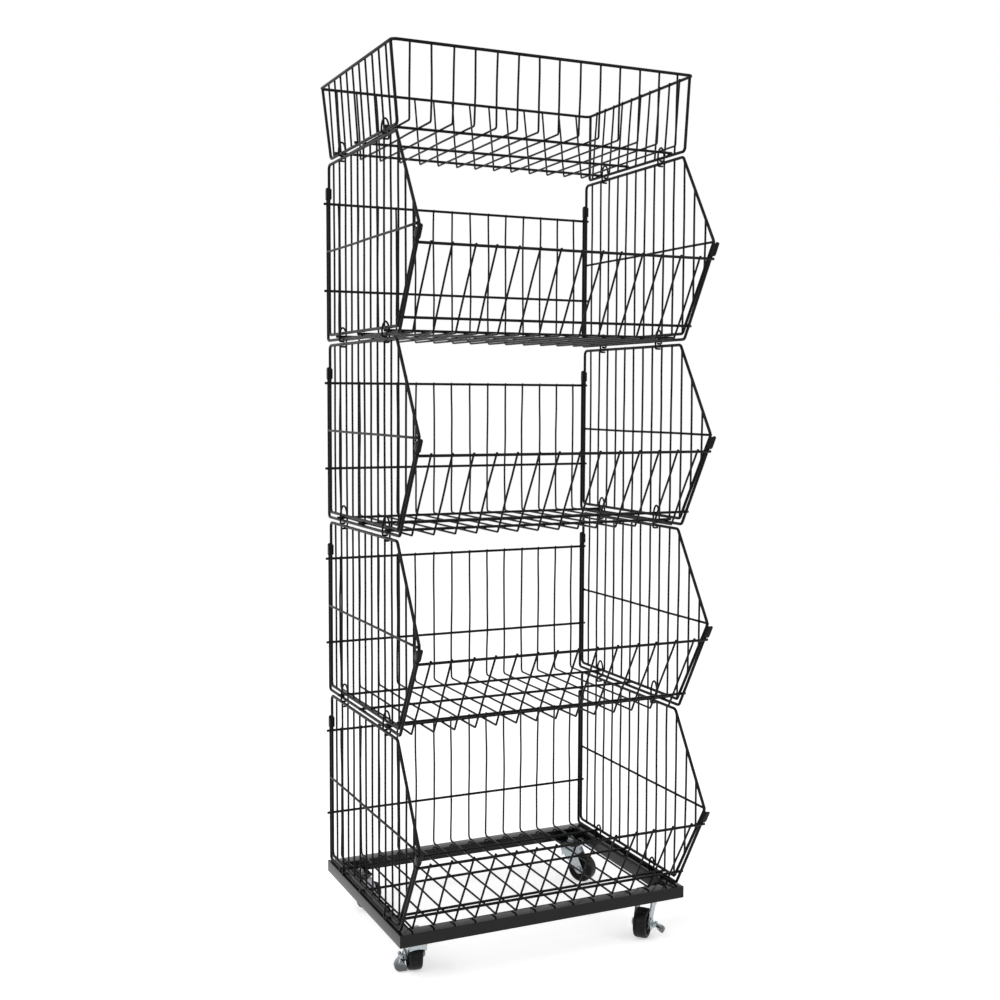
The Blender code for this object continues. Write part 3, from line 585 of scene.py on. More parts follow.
BOTTOM_LENGTH = NEST - bottom_front.x
THIN_INSET = (FRAME_WIRE - MESH_WIRE) / 2 - WELD - GAP
RISE = Vector((0, slope.x, slope.y))
BRACE_SINK = 0.2 * MM
PLATE_NEAR = 2.1 * MM


def panel_height_at(depth, lower):
    edge = PANEL_BOTTOM_DEPTH if lower else PANEL_TOP_DEPTH
    level = NEST if lower else NEST + PANEL_HEIGHT
    if depth <= edge:
        return level
    share = (depth - edge) / (TIP_DEPTH - edge)
    return level + share * (NEST + TIP_HEIGHT - level)


def side_panel(side, draw):
    shell = Shell()
    plane = side * HALF_SPAN
    loop = bent_loop([Vector((plane, y, z)) for y, z in panel_corners], [PANEL_BEND] * 5)
    shell.tube(loop, FRAME_WIRE, THICK_SIDES, closed=True)
    upright = plane - side * SEAT
    brace_x = upright + side * (MESH_WIRE / 2 + BRACE_WIRE / 2 - BRACE_SINK)
    level = NEST + TIP_HEIGHT
    ends = [Vector((brace_x, FRAME_WIRE / 4, level)), Vector((brace_x, -TIP_DEPTH + PANEL_BEND / 2, level))]
    shell.tube(swayed(fine(ends, BRACE_STEP), UP, draw, BRACE_SWAY), BRACE_WIRE, CROSS_SIDES)
    for i in range(PANEL_WIRES):
        depth = FIRST_WIRE + i * PANEL_PITCH + draw.uniform(-UPRIGHT_STRAY, UPRIGHT_STRAY) * MM
        low = Vector((upright, -depth, panel_height_at(depth, True)))
        high = Vector((upright, -depth, panel_height_at(depth, False)))
        path = swayed(fine([low, high]), DEEP, draw, UPRIGHT_SWAY)
        shell.tube(path, MESH_DRAWN, THIN_SIDES)
        for end in (path[0], path[-1]):
            shell.bead(end, DEEP, UP, UPRIGHT_NUGGET)
        spot = min(path, key=lambda p: abs(p.z - level))
        weld(shell, spot, Vector((brace_x, spot.y, level)), UP, DEEP, MESH_WIRE, BRACE_WIRE)
    for end in ends:
        shell.bead(end, DEEP, UP, BRACE_NUGGET)
    return shell


def cradle_path(x, inset, front_end, back_end, bends):
    """Wire down the back, along the bottom and up the slanted front."""
    shift = inset * (1 + slope.x) / slope.y
    corner = Vector((bottom_front.x + shift, inset))
    end = corner + slope * front_end
    corners = [
        Vector((x, NEST - inset, back_end)),
        Vector((x, NEST - inset, inset)),
        Vector((x, corner.x, corner.y)),
        Vector((x, end.x, end.y)),
    ]
    return bent_open(corners, bends)


def cradle(draw):
    shell = Shell()
    back_start = BACK_CROSS_HIGH + PLATE_START
    back_top = back_start + BACK_PLATE_LENGTH - 2 * MM
    front_start = FRONT_HIGH + PLATE_START
    front_top = front_start + FRONT_PLATE_LENGTH - 4 * MM
    bound = LOOSE - WELD - GAP
    low = bottom_front + slope * FRONT_CROSS_LOW * FRONT_LENGTH - facing * LOOSE
    high = bottom_front + slope * FRONT_HIGH + facing * (MESH_WIRE / 2 + CROSS_WIRE / 2 - WELD - THIN_INSET)
    reach = HALF_SPAN + CROSS_OVERHANG
    places = [(reach, NEST - share * BOTTOM_LENGTH, LOOSE, DEEP) for share in BOTTOM_CROSS]
    places += [
        (reach, NEST - LOOSE, BACK_CROSS_LOW, UP),
        (reach, NEST - bound, BACK_CROSS_HIGH, UP),
        (reach, low.x, low.y, RISE),
        (HALF_SPAN + HIGH_OVERHANG, high.x, high.y, RISE),
    ]
    thin = []
    for i in range(CRADLE_WIRES):
        x = CRADLE_MARGIN + i * CRADLE_PITCH - HALF_SPAN + draw.uniform(-MESH_STRAY, MESH_STRAY) * MM
        tops = (FRONT_HIGH + WIRE_TIP, BACK_CROSS_HIGH + WIRE_TIP)
        path = cradle_path(x, THIN_INSET, *tops, [BACK_BEND, THIN_BEND])
        thin.append(swayed(fine(path), ACROSS, draw, CRADLE_SWAY))
        shell.tube(thin[-1], MESH_DRAWN, THIN_SIDES, ends=CUT_WEAR)
    ends = []
    for side in (-1, 1):
        ends.append(fine(cradle_path(side * HALF_SPAN, 0.0, front_top, back_top, [BACK_BEND, FRONT_BEND])))
        shell.tube(ends[-1], FRAME_WIRE, THICK_SIDES)
    for place in places:
        cross_bar(shell, *place, thin, ends)
    for side in (-1, 1):
        front_hook(shell, side, front_start)
        back_hook(shell, side, back_start)
    return shell


def front_hook(shell, side, start):
    """Folded clip on the outside of the end wire's front, with a lip beside the panel's corner."""
    place = bottom_front + slope * start
    turn = Matrix((
        (side, 0, 0, side * HALF_SPAN),
        (0, facing.x, slope.x, place.x),
        (0, facing.y, slope.y, place.y),
        (0, 0, 0, 1),
    ))
    near, far = PLATE_NEAR, PLATE_NEAR + PLATE_SHEET
    shell.plaque((-2.7 * MM, 0), (5 * MM, FRONT_PLATE_LENGTH), 3.4 * MM, near, far, turn, PLATE_WEAR)
    lip = ((2.8 * MM, -7.5 * MM, 1 * MM), (4.8 * MM, near + 1.2 * MM, 15 * MM))
    shell.block(*lip, 0.7 * MM, turn, PLATE_WEAR)
    for z in (2.0, 20.5):
        shell.bead(turn @ Vector((0, near, z * MM)), ACROSS, RISE, FRONT_PLATE_NUGGET)


def back_hook(shell, side, start):
    """Channel between the end wire and the panel's back wire, open towards the panel."""
    near = NEST - PLATE_NEAR
    far = 2.8 * MM
    top = start + BACK_PLATE_LENGTH
    middle = side * HALF_SPAN
    shell.plaque((middle - 4.5 * MM, start), (middle + 4.5 * MM, top), 3.6 * MM, far, near, None, PLATE_WEAR)
    for edge in (-1, 1):
        lip_x = middle + edge * 3.6 * MM
        low = (lip_x - 0.75 * MM, -1.2 * MM, start + 3 * MM)
        shell.block(low, (lip_x + 0.75 * MM, far + MM, top - 3 * MM), 0.4 * MM, None, PLATE_WEAR)
    for z in (start + 3 * MM, top - 3 * MM):
        shell.bead(Vector((middle, near, z)), ACROSS, UP, BACK_PLATE_NUGGET)


def tray_path(x, top_x, inset, levels, pull, bend):
    """Wire down the tray's back, along its floor and up its front; pull keeps its ends short of the rim."""
    corners = [
        Vector((top_x, RIM_BACK - pull, TRAY_HEIGHT)),
        Vector((x, TRAY_BACK - inset, levels[0])),
        Vector((x, TRAY_FRONT + inset, levels[1])),
        Vector((top_x, RIM_FRONT + pull, TRAY_HEIGHT)),
    ]
    return fine(bent_open(corners, [bend, bend]))


def tray(draw):
    shell = Shell()
    rim = [(-RIM_X, RIM_FRONT), (RIM_X, RIM_FRONT), (RIM_X, RIM_BACK), (-RIM_X, RIM_BACK)]
    loop = bent_loop([Vector((x, y, TRAY_HEIGHT)) for x, y in rim], [RIM_BEND] * 4)
    shell.tube(loop, FRAME_WIRE, THICK_SIDES, closed=True)
    ends = []
    for side in (-1, 1):
        path = tray_path(side * HALF_SPAN, side * (RIM_X - SEAT), 0.0, (0.0, 0.0), RIM_BEND, BACK_BEND)
        ends.append(path)
        shell.tube(path, FRAME_WIRE, THICK_SIDES)
        for end in (path[0], path[-1]):
            shell.bead(end, ACROSS, DEEP, RIM_NUGGET)
    thin = []
    for i in range(CRADLE_WIRES):
        x = (i + 0.5) * 2 * HALF_SPAN / CRADLE_WIRES - HALF_SPAN + draw.uniform(-MESH_STRAY, MESH_STRAY) * MM
        path = tray_path(x, x, THIN_INSET, (TRAY_FLOOR_BACK, TRAY_FLOOR_FRONT), SEAT, THIN_BEND)
        thin.append(swayed(path, ACROSS, draw, TRAY_SWAY))
        shell.tube(thin[-1], MESH_DRAWN, THIN_SIDES)
        for end in (thin[-1][0], thin[-1][-1]):
            shell.bead(end, ACROSS, UP, TRAY_NUGGET)
    for side in (-1, 1):
        for i in range(TRAY_SIDE_WIRES):
            y = TRAY_BACK - TRAY_SIDE_BACK - i * TRAY_SIDE_PITCH
            low = Vector((side * (HALF_SPAN - SIDE_IN_LOW), y, -SIDE_BELOW))
            high = Vector((side * (RIM_X - SIDE_IN_HIGH), y, TRAY_HEIGHT + SIDE_ABOVE))
            path = swayed(fine([low, high]), DEEP, draw, TRAY_SIDE_SWAY)
            shell.tube(path, MESH_DRAWN, THIN_SIDES, ends=SIDE_CUT_WEAR)
            for spot, level in ((path[0], 0.0), (path[-1], TRAY_HEIGHT)):
                middle = Vector((spot.x + side * SIDE_NUGGET_OUT, spot.y, level))
                shell.bead(middle, DEEP, UP, TRAY_SIDE_NUGGET)
    reach = HALF_SPAN + CROSS_OVERHANG / 2
    for share in TRAY_CROSS:
        cross_bar(shell, reach, TRAY_BACK - share * TRAY_DEPTH, LOOSE, DEEP, thin, ends)
    return shell


# Links and staples: how far a link's two ends reach under the wires, as shares of its half width
LINK_LEAD = 0.65
LINK_TAIL = 0.45
LINK_BEND = 2.5 * MM


def arch(low, top, half, steps=16):
    """Tall pointed arch from one leg to the other."""
    turns = [math.pi * (1 - i / steps) for i in range(steps + 1)]
    return [Vector((half * math.cos(a), 0.0, low + (top - low) * math.sin(a) ** 0.9)) for a in turns]


def link(rise):
    shell = Shell()
    seat = FRAME_WIRE / 2 + GAP + LINK_WIRE / 2
    over = arch(2 * seat, 2 * seat + rise - LINK_WIRE / 2, LINK_HALF)
    lead = [Vector((LINK_LEAD * LINK_HALF, 0, -seat)), Vector((-LINK_HALF, 0, -seat)), over[0]]
    tail = [over[-1], Vector((LINK_HALF, 0, seat)), Vector((-LINK_TAIL * LINK_HALF, 0, seat))]
    path = bent_open(lead, [LINK_BEND], 5) + over[1:-1] + bent_open(tail, [LINK_BEND], 5)
    shell.tube(path, LINK_WIRE, CROSS_SIDES, wear_and_shade=LINK_WEAR, ends=CUT_WEAR)
    return shell


def staple():
    shell = Shell()
    feet = [Vector((edge * STAPLE_HALF, 0.0, -FRAME_WIRE / 2)) for edge in (-1, 1)]
    over = arch(FRAME_WIRE, STAPLE_RISE - LINK_WIRE / 2, STAPLE_HALF)
    shell.tube([feet[0], *over, feet[1]], LINK_WIRE, CROSS_SIDES, wear_and_shade=LINK_WEAR)
    for foot in feet:
        shell.bead(foot, ACROSS, DEEP, STAPLE_NUGGET)
    return shell


def placed(x, y, z, turn=0.0):
    return Matrix.Translation((x, SHIFT + y, z)) @ Matrix.Rotation(turn, 4, "Z")


draw = random.Random(SEED)
for tier in range(1, TIERS + 1):
    place = placed(0, 0, FIRST_TIER + (tier - 1) * TIER_PITCH)
    node = f"basket_{tier}_cradle"
    cradle(draw).object(f"{node}_wires", "black_coat", "rack", node, matrix=place)
    for side, sign in SIDES.items():
        node = f"basket_{tier}_{side}_panel"
        side_panel(sign, draw).object(f"{node}_wires", "black_coat", "rack", node, matrix=place)
place = placed(0, 0, FIRST_TIER + TIERS * TIER_PITCH)
tray(draw).object("top_tray_wires", "black_coat", "rack", "top_tray", matrix=place)

for side, sign in SIDES.items():
    turn = 0.0 if sign > 0 else math.pi
    for row, steps in LINK_STEPS[side].items():
        depth = -FIRST_WIRE - (steps - 1) * PANEL_PITCH
        node = f"base_{side}_{row}_staple"
        place = placed(sign * HALF_SPAN, depth, FIRST_TIER, turn)
        staple().object(f"{node}_wire", "black_coat", "rack", node, matrix=place)
        for tier in range(1, TIERS + 1):
            level = FIRST_TIER + (tier - 1) * TIER_PITCH + NEST + PANEL_HEIGHT
            node = ("tray" if tier == TIERS else f"basket_{tier + 1}") + f"_{side}_{row}_link"
            place = placed(sign * HALF_SPAN, depth, level, turn)
            link(LINK_RISE[tier - 1]).object(f"{node}_wire", "black_coat", "rack", node, matrix=place)

# Base frame: play at the mitres, weld seams along them, and ripples of weld in the inner corners
MITRE_PLAY = 0.1 * MM
SEAM_WIRE = 1.9 * MM
SEAM_SINK = 0.55 * MM
SEAM_STEP = 3 * MM
SEAM_STOPS = (2 * MM, 9 * MM, 16 * MM, 23 * MM)
RIPPLES = (-8.5 * MM, -5.1 * MM, -1.7 * MM, 1.7 * MM, 5.1 * MM, 8.5 * MM)


def rail(length):
    """Mitred tube along x with rounded edges, its outer side at y = 0, centred in z."""
    shell = Shell()
    deep = TUBE_WIDTH / 2
    half = TUBE_HEIGHT / 2
    section = []
    for cy, cz, start in QUADRANTS:
        for i in range(5):
            a = math.radians(start + 22.5 * i)
            section.append((
                deep + cy * (deep - TUBE_EDGE) + TUBE_EDGE * math.cos(a),
                cz * (half - TUBE_EDGE) + TUBE_EDGE * math.sin(a),
            ))
    stops = [-1.0, -0.5, 0.0, 0.5, 1.0]
    rows = [[Vector((stop * (length / 2 - y - MITRE_PLAY), y, z)) for y, z in section] for stop in stops]
    shell.grid(rows)
    for end in (-1, 1):
        seam = [Vector((end * (length / 2 - y), y, half - SEAM_SINK)) for y in SEAM_STOPS]
        for level in (1, -1):
            path = [Vector((p.x, p.y, p.z * level)) for p in fine(seam, SEAM_STEP)]
            shell.tube(path, SEAM_WIRE, THIN_SIDES)
        for z in RIPPLES:
            spot = Vector((end * (length / 2 - TUBE_WIDTH), TUBE_WIDTH, z))
            shell.bead(spot, ACROSS, UP, SEAM_NUGGET)
    return shell


for name, turn in (("front", 0.0), ("right", math.pi / 2), ("rear", math.pi), ("left", -math.pi / 2)):
    node = f"base_{name}_rail"
    low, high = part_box(node)
    size = high - low
    length = max(size.x, size.y) + 2 * GAP / math.sqrt(2)
    middle = (low + high) / 2
    inward = Matrix.Rotation(turn, 4, "Z") @ Vector((0, -TUBE_WIDTH / 2, 0))
    place = Matrix.Translation(middle + inward) @ Matrix.Rotation(turn, 4, "Z")
    tube = rail(length)
    tube.object(f"base_{name}_tube", "black_coat", "rack", node, matrix=place, sharp=50.0, finish=TUBE_COAT)


def softened(node, width):
    """The node's own plate with rounded edges."""
    work = bmesh.new()
    work.from_mesh(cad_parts[node].data)
    bmesh.ops.remove_doubles(work, verts=work.verts, dist=0.00002)
    bmesh.ops.dissolve_limit(work, angle_limit=math.radians(2), verts=work.verts, edges=work.edges)
    edges = [e for e in work.edges if e.is_manifold and e.calc_face_angle(0.0) > math.radians(40)]
    bmesh.ops.bevel(
        work, geom=edges, offset=width, segments=2, profile=0.5, affect="EDGES", clamp_overlap=True
    )
    shell = Shell()
    shell.solid(work, None, GUSSET_WEAR)
    return shell


# Casters, drawn in mm
def stem():
    """Threaded stem with its cup, king pin and rivet head, and a nut and washer on top of the gusset."""
    shell = Shell()
    thread = []
    for i in range(9):
        level = 67.9 + 1.35 * i
        thread += [(3.5, level), (4.0, level + 0.55), (4.0, level + 0.8), (3.5, level + 1.3)]
    rivet = [(0.6, 57.2), (4.5, 57.3), (6.4, 57.9), (7.0, 58.8), (6.8, 59.7), (4.0, 59.7), (4.0, 64.1)]
    cup = [
        (18.3, 64.1), (19.0, 64.7), (19.0, 65.5), (18.5, 66.3), (17.2, 66.9), (15.5, 67.3), (14.8, 67.7),
        (9.0, 67.7), (3.6, 67.7),
    ]
    shell.turned([*rivet, *cup, *thread, (3.5, 80.2), (3.1, 80.6), (0.6, 80.6)], 40)
    washer = [(4.1, 71.3), (9.2, 71.3), (9.5, 71.6), (9.5, 72.8), (9.2, 73.1), (4.1, 73.1)]
    shell.turned(washer, 36, ring=True)
    shell.hexagon(5.7 * MM, 72.9 * MM, 78.4 * MM)
    return shell


# The fork's sheet, in mm: its section over the crown, round the bends and down the legs, and the edges of a leg
# as lines between two (x, z) points, down to the round eye
CROWN_TOP, CROWN_UNDER = 63.0, 60.6
LEG_OUTSIDE, LEG_INSIDE = 14.4, 12.0
BEND_Y, BEND_Z = 10.4, 59.0
BEND_OUTSIDE, BEND_INSIDE = 4.0, 1.6
LEG_LEVELS = (55.5, 52.0, 48.0, 44.0, 40.0, 36.0, 32.5, 29.5, 27.0, 24.5, 22.26, 20.4, 18.9, 17.8, 17.15)
LEG_FRONT = ((-14.0, 54.6), (17.48, 22.26))
LEG_BACK = ((16.0, 62.6), (32.52, 27.74))
EYE_X, EYE_Z, EYE_RADIUS = 25.0, 25.0, 8.0
PRESS_DEPTH, PRESS_WIDTH = 0.75, 0.2
PRESS_TOP, PRESS_END, PRESS_FADE = 56.0, 33.0, 5.0
# Top of the painted shade on a fork leg, in mm
PAINTED_SHADE_TOP = 57.0
APRON_HALF, APRON_LOW = 13.9, 47.6


def leg_edge(z, line, side):
    """x of a leg's edge at a height: upright above its line, and round the eye below it."""
    (top_x, top_z), (low_x, low_z) = line
    if z >= top_z:
        return top_x
    if z >= low_z:
        return top_x + (top_z - z) / (top_z - low_z) * (low_x - top_x)
    return EYE_X + side * math.sqrt(max(0.0, EYE_RADIUS ** 2 - (z - EYE_Z) ** 2))


def leg_press(share, z):
    """Stiffening press along the middle of a leg, fading out above the eye."""
    if z >= PRESS_TOP:
        return 0.0
    fade = min(1.0, max(0.0, (z - PRESS_END) / PRESS_FADE))
    return PRESS_DEPTH * math.exp(-(((share - 0.5) / PRESS_WIDTH) ** 2)) * fade


def fork(braked):
    """Stamped sheet over the crown and down both legs, a ball race and an apron; on a braked caster the leg
    away from the pedal is darkened below the crown as painted shade.
    """
    shell = Shell()
    half = [((y, CROWN_TOP), (y, CROWN_UNDER)) for y in (0.0, 5.5, BEND_Y)]
    for a in (22.5, 45.0, 67.5, 90.0):
        c, s = math.cos(math.radians(a)), math.sin(math.radians(a))
        half.append((
            (BEND_Y + BEND_OUTSIDE * s, BEND_Z + BEND_OUTSIDE * c),
            (BEND_Y + BEND_INSIDE * s, BEND_Z + BEND_INSIDE * c),
        ))
    half += [((LEG_OUTSIDE, z), (LEG_INSIDE, z)) for z in LEG_LEVELS]
    columns = 9
    loops = []
    painted_shade = []
    for sign, part in ((-1, half[:0:-1]), (1, half)):
        for (oy, oz), (iy, iz) in part:
            level = min(oz, LEG_BACK[0][1])
            front, back = leg_edge(level, LEG_FRONT, -1), leg_edge(level, LEG_BACK, 1)
            outside, inside = [], []
            for j in range(columns):
                share = j / (columns - 1)
                x = front + (back - front) * share
                press = leg_press(share, oz)
                outside.append(Vector((x, sign * (oy + press), oz)) * MM)
                inside.append(Vector((x, sign * (iy + press * 0.6), iz)) * MM)
            loops.append(outside + inside[::-1])
            # Painted shade: on a braked caster the leg away from the pedal is darkened below the crown
            painted_shade += [FORK_PAINTED_SHADE if braked and sign < 0 and oz < PAINTED_SHADE_TOP else 0.0] * (2 * columns)
    shell.grid(loops, False, painted_shade)
    race = [
        (4.3, 60.8), (15.6, 60.8), (16.8, 61.3), (17.0, 62.2), (16.8, 63.2), (15.8, 63.8), (12.5, 63.8),
        (11.5, 63.3), (4.3, 63.3),
    ]
    shell.turned(race, 36, ring=True)
    rows = []
    for i in range(17):
        y = APRON_HALF * (i / 8 - 1)
        share = abs(y) / APRON_HALF
        low = APRON_LOW - 3.0 * share ** 2.5
        pull = 1.4 * share ** 8
        outer = [(-10.6, 62.9), (-12.4, 62.5), (-13.4, 61.5), (-13.9, 59.8), (-13.9, 56.0), (-13.9, low)]
        inner = [(-12.2, low), (-12.2, 56.0), (-12.1, 59.4), (-11.6, 60.6), (-10.6, 61.2)]
        rows.append([Vector((x + pull, y, z)) * MM for x, z in outer + inner])
    shell.grid(rows)
    return shell


SIDEWAYS = Matrix.Rotation(math.pi / 2, 4, "X")


def axle(braked):
    """Bolt with its head and lock nut; on a braked caster also a washer, and an eye with the hinge pin."""
    shell = Shell()
    shell.turned([(0.5, -17.9), (4.0, -17.8), (4.0, 17.6), (3.2, 18.3), (0.5, 18.3)], 20, SIDEWAYS)
    shell.hexagon(5.2 * MM, 14.7 * MM, 17.7 * MM, SIDEWAYS)
    shell.hexagon(5.2 * MM, -18.2 * MM, -14.7 * MM, SIDEWAYS)
    if braked:
        boss = [(4.2, 14.9), (9.4, 14.9), (10.1, 15.3), (10.3, 16.0), (9.8, 16.8), (8.0, 17.2), (4.2, 17.2)]
        shell.turned([(r, -h) for r, h in boss], 36, SIDEWAYS, ring=True)
        middle = HINGE_REACH / MM
        turns = [math.radians(127 - 25.4 * i) for i in range(11)]
        bend = [(middle + 2.5 * math.cos(a), 2.5 * math.sin(a)) for a in turns]
        outline = [(17.0, 2.0), *bend, (17.0, -2.0)]
        rows = []
        for x, ease in ((-2.5, 0.9), (-2.2, 1.0), (2.2, 1.0), (2.5, 0.9)):
            rows.append([Vector((x, middle + (y - middle) * ease, z * ease)) * MM for y, z in outline])
        shell.grid(rows, False, EYE_WEAR)
        ends = [(0.3, -9.0), (1.9, -8.9), (2.4, -8.6), (2.4, -8.2), (1.5, -8.2)]
        pin = Matrix.Translation((0, HINGE_REACH, 0)) @ Matrix.Rotation(math.pi / 2, 4, "Y")
        shell.turned(ends + [(r, -h) for r, h in reversed(ends)], 16, pin)
    return shell


def wheel():
    """Moulded wheel: crowned tread with two fine grooves, rounded shoulders, dished and ribbed sides."""
    shell = Shell()
    side = [
        (4.3, 11.0), (8.6, 11.0), (9.4, 10.6), (10.2, 8.0), (11.0, 7.6), (17.6, 7.6), (18.4, 8.2), (19.0, 10.4),
        (19.8, 11.0),
    ]
    shoulder = [(21.6, 11.0), (23.0, 10.6), (24.1, 9.7), (24.7, 8.4)]
    tread = [(24.8, 6.2), (24.45, 6.0), (24.45, 5.5), (24.85, 5.3), (25.0, 2.0), (25.0, 0.3)]
    half = side + shoulder + tread
    marks = [0.0] * len(side) + [0.3, 0.5, 0.8, 1.0] + [1.0] * len(tread)
    profile = half + [(r, -h) for r, h in reversed(half)]
    shell.turned(profile, 56, SIDEWAYS, ring=True, wear_and_shade=marks + marks[::-1])
    for k in range(8):
        spin = SIDEWAYS @ Matrix.Rotation(k * math.pi / 4, 4, "Z")
        for near, far in ((-9.6, -7.2), (7.2, 9.6)):
            low = Vector((9.2, -0.9, near)) * MM
            high = Vector((18.6, 0.9, far)) * MM
            shell.block(low, high, 0.4 * MM, spin)
    return shell


# Pedal scoops: distance out from the hinge, height, half width and wall depth along each, in mm
SCOOPS = {
    "front_left": [
        (2.3, 1.6, 7.4, 1.8), (4.5, 2.8, 8.0, 3.0), (6.7, 3.7, 9.6, 7.0), (8.9, 4.5, 10.8, 11.5),
        (12.2, 5.9, 11.0, 16.3), (15.4, 6.9, 11.0, 19.0), (18.5, 7.2, 11.0, 20.3), (20.5, 6.5, 11.0, 20.0),
        (21.8, 5.5, 11.0, 16.5), (23.0, 4.0, 10.9, 10.0), (23.8, 2.4, 10.8, 5.6), (24.15, 0.0, 10.5, 3.0),
        (24.1, -2.2, 10.2, 1.9), (23.2, -5.6, 9.6, 1.7), (22.2, -9.0, 8.8, 1.7), (21.2, -12.4, 8.0, 1.7),
    ],
    "front_right": [
        (2.3, 1.6, 7.4, 1.8), (4.4, 2.8, 7.8, 2.4), (6.6, 3.6, 8.8, 3.2), (8.9, 4.2, 9.8, 4.0),
        (11.4, 4.5, 10.3, 4.4), (13.8, 4.4, 10.4, 4.4), (15.8, 3.8, 10.2, 4.0), (17.3, 2.8, 9.8, 3.4),
        (18.2, 1.4, 9.2, 2.6), (18.5, -0.2, 8.4, 2.0), (18.3, -1.4, 7.6, 1.7),
    ],
}
PEDAL_SHEET = 1.5
PEDAL_SHARES = (-1.0, -0.94, -0.8, -0.55, -0.28, 0.0, 0.28, 0.55, 0.8, 0.94, 1.0)


def crease(x, y):
    """Depth of the V-shaped crease in the pedal's neck."""
    if not 3.0 < y < 11.0:
        return 0.0
    return 0.55 * math.exp(-(((abs(x) - abs(y - 6.5) * 0.9) / 1.1) ** 2))


def pedal(line):
    """Pressed scoop on two rolled rings: crowned outward, walled at both sides, its toe turned in."""
    shell = Shell()
    barrel = [(1.8, 2.8), (2.9, 2.8), (3.2, 3.1), (3.2, 7.7), (2.9, 8.0), (1.8, 8.0)]
    for turn in (-90, 90):
        shell.turned(barrel, 20, Matrix.Rotation(math.radians(turn), 4, "Y"), ring=True)
    thick = PEDAL_SHEET
    loops = []
    marks = []
    for i, (y, z, half, wall) in enumerate(line):
        before = line[max(0, i - 1)]
        after = line[min(len(line) - 1, i + 1)]
        run = Vector((after[0] - before[0], after[1] - before[1])).normalized()
        soft = min(2.4, wall * 0.6)
        outer = [(-half, wall), (-half, (wall + soft) / 2)]
        inner = [(-half + thick, wall), (-half + thick, (wall + soft + thick) / 2)]
        for share in PEDAL_SHARES:
            x = half * share
            dent = crease(x, y)
            outer.append((x, soft * abs(share) ** 5 - dent))
            inner.append((x * (half - thick) / half, soft * abs(share) ** 5 + thick - dent * 0.5))
        outer += [(half, (wall + soft) / 2), (half, wall)]
        inner += [(half - thick, (wall + soft + thick) / 2), (half - thick, wall)]
        loop = []
        for x, drop in outer + inner[::-1]:
            square = min(drop, thick)
            loop.append(Vector((x, y + run.y * square, z - run.x * square - (drop - square))) * MM)
        loops.append(loop)
        # The zinc is darkened more the further out it is from the hinge
        outward_darkening = min(0.9, 0.15 + max(0.0, y - 5.0) * 0.12)
        marks += [outward_darkening] * len(loop)
    shell.grid(loops, False, marks)
    return shell


for corner, (yaw, pedal_angle) in CASTERS.items():
    braked = pedal_angle is not None
    node = f"base_{corner}_gusset"
    softened(node, 0.6 * MM).object(f"{node}_plate", "black_coat", "rack", node, finish=TUBE_COAT)
    node = f"{corner}_caster_stem"
    low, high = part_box(node)
    upright = Matrix.Translation(((low.x + high.x) / 2, (low.y + high.y) / 2, 0.0))
    swivel = upright @ Matrix.Rotation(math.radians(yaw), 4, "Z")
    hub = swivel @ Matrix.Translation((TRAIL, 0, WHEEL_RADIUS))
    body = f"{corner}_caster"
    stem().object(f"{node}_turned", "zinc", "rack", node, matrix=upright)
    node = f"{corner}_caster_fork"
    fork(braked).object(f"{node}_sheet", "zinc", body, node, matrix=swivel)
    node = f"{corner}_caster_axle"
    axle(braked).object(f"{node}_bolt", "zinc", body, node, matrix=hub)
    node = f"{corner}_caster_wheel"
    wheel().object(f"{node}_moulding", "wheel_tread", f"{corner}_wheel", node, matrix=hub)
    if braked:
        node = f"{corner}_brake_pedal"
        hinge = swivel @ Matrix.Translation((TRAIL, HINGE_REACH, WHEEL_RADIUS))
        hinge = hinge @ Matrix.Rotation(-math.radians(pedal_angle), 4, "X")
        pedal(SCOOPS[corner]).object(f"{node}_scoop", "zinc", f"{corner}_pedal", node, matrix=hinge)

# Floor, light and camera
WHITE = (1.0, 1.0, 1.0, 1.0)
FLOOR_COLOUR = (0.88, 0.88, 0.88, 1.0)
FLOOR_HALF = 6.0
FLOOR_GLOW = 0.5
WORLD_LIGHT = 0.62
WORLD_SEEN = 1.0
CAMERA_PLACE = (-0.9393, -1.98645, 0.9115)
CAMERA_TURN = 24.778
CAMERA_DIP = 4.427
CAMERA_ROLL = 0.237
CAMERA_LENS = 47.3
CAMERA_SENSOR = 36.0


def seen_directly(tree):
    """1 for rays that show the surroundings: from the camera, in a reflection or through glass."""
    path = tree.nodes.new("ShaderNodeLightPath")
    total = path.outputs["Is Camera Ray"]
    for name in ("Is Glossy Ray", "Is Transmission Ray"):
        node = add(tree, "ShaderNodeMath", {0: total, 1: path.outputs[name]}, operation="MAXIMUM")
        total = node.outputs[0]
    return total


def choice(tree, otherwise, seen):
    """One shader for rays that show it and another one for the rest."""
    shaders = {0: seen_directly(tree), 1: otherwise.outputs[0], 2: seen.outputs[0]}
    return {"Surface": add(tree, "ShaderNodeMixShader", shaders).outputs[0]}


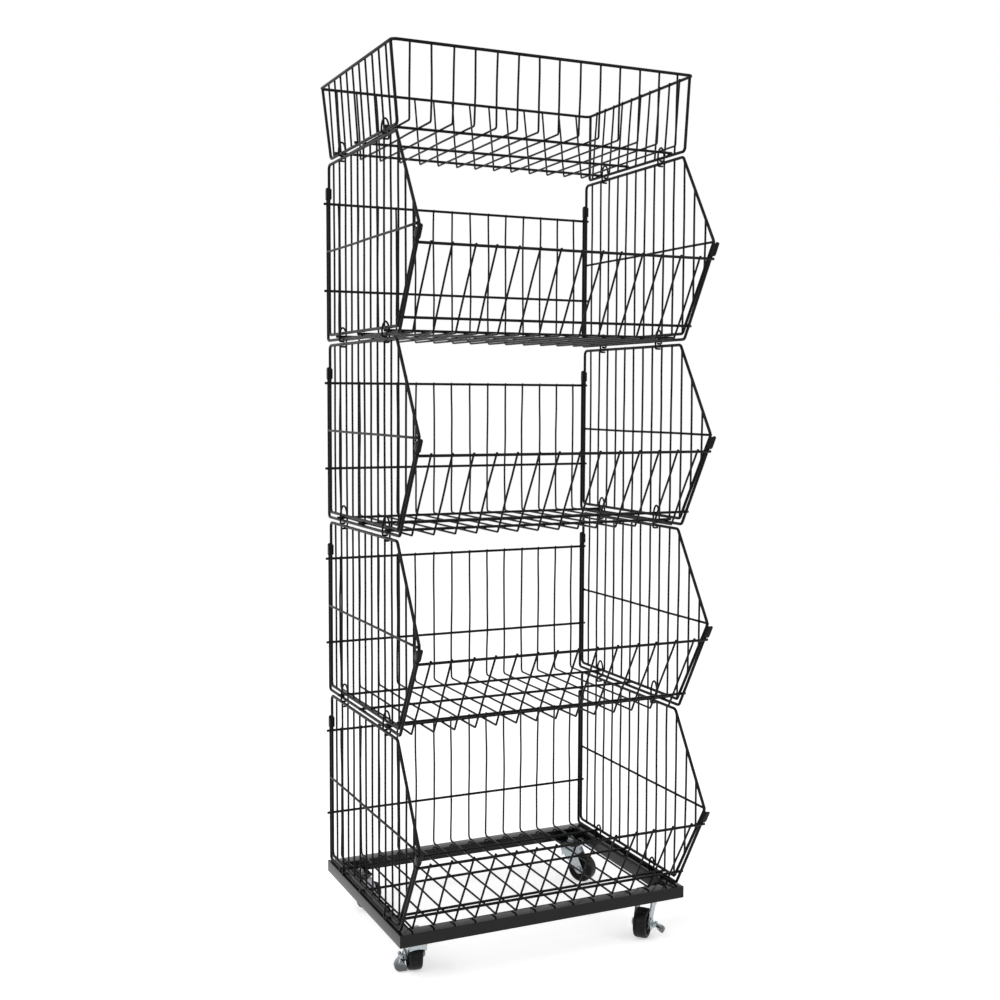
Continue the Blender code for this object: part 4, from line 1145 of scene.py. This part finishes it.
def pale_floor():
    work = bmesh.new()
    bmesh.ops.create_grid(work, x_segments=8, y_segments=8, size=FLOOR_HALF)
    mesh = bpy.data.meshes.new("studio_floor")
    work.to_mesh(mesh)
    work.free()
    made = bpy.data.materials.new("studio_floor_white")
    made.use_nodes = True
    tree = made.node_tree
    tree.nodes.clear()
    matt = add(tree, "ShaderNodeBsdfDiffuse", Color=FLOOR_COLOUR)
    glow = add(tree, "ShaderNodeEmission", Strength=FLOOR_GLOW)
    lit = add(tree, "ShaderNodeAddShader", {0: matt.outputs[0], 1: glow.outputs[0]})
    out = add(tree, "ShaderNodeOutputMaterial", choice(tree, matt, lit))
    out.is_active_output = True
    mesh.materials.append(made)
    thing = bpy.data.objects.new("studio_floor", mesh)
    bpy.context.scene.collection.objects.link(thing)


def white_world():
    world = bpy.data.worlds.new("studio")
    bpy.context.scene.world = world
    world.use_nodes = True
    tree = world.node_tree
    tree.nodes.clear()
    plain = add(tree, "ShaderNodeBackground", Strength=WORLD_LIGHT, Color=WHITE)
    bright = add(tree, "ShaderNodeBackground", Strength=WORLD_SEEN, Color=WHITE)
    add(tree, "ShaderNodeOutputWorld", choice(tree, plain, bright))


def soft_light(name, place, target, size, power):
    lamp = bpy.data.lights.new(name, "AREA")
    lamp.shape = "RECTANGLE"
    lamp.size, lamp.size_y = size
    lamp.energy = power
    thing = bpy.data.objects.new(name, lamp)
    bpy.context.scene.collection.objects.link(thing)
    thing.location = place
    thing.rotation_euler = (Vector(target) - Vector(place)).to_track_quat("-Z", "Y").to_euler()
    thing.visible_camera = False


def camera():
    turn, dip, roll = (math.radians(a) for a in (CAMERA_TURN, CAMERA_DIP, CAMERA_ROLL))
    ahead = Vector((math.sin(turn) * math.cos(dip), math.cos(turn) * math.cos(dip), -math.sin(dip)))
    level = Vector((math.cos(turn), -math.sin(turn), 0.0))
    above = level.cross(ahead)
    right = level * math.cos(roll) + above * math.sin(roll)
    up = right.cross(ahead)
    data = bpy.data.cameras.new("studio_camera")
    data.lens = CAMERA_LENS
    data.sensor_width = CAMERA_SENSOR
    thing = bpy.data.objects.new("studio_camera", data)
    bpy.context.scene.collection.objects.link(thing)
    thing.matrix_world = Matrix((
        (right.x, up.x, -ahead.x, CAMERA_PLACE[0]),
        (right.y, up.y, -ahead.y, CAMERA_PLACE[1]),
        (right.z, up.z, -ahead.z, CAMERA_PLACE[2]),
        (0, 0, 0, 1),
    ))
    bpy.context.scene.camera = thing


pale_floor()
white_world()
soft_light("key_light", (-2.4, -0.9, 2.6), (0, 0, 0.7), (1.8, 1.8), 42.0)
soft_light("fill_light", (1.9, -2.2, 2.2), (0, 0, 0.7), (1.6, 1.6), 16.0)
camera()
bpy.context.scene.view_settings.view_transform = "Standard"
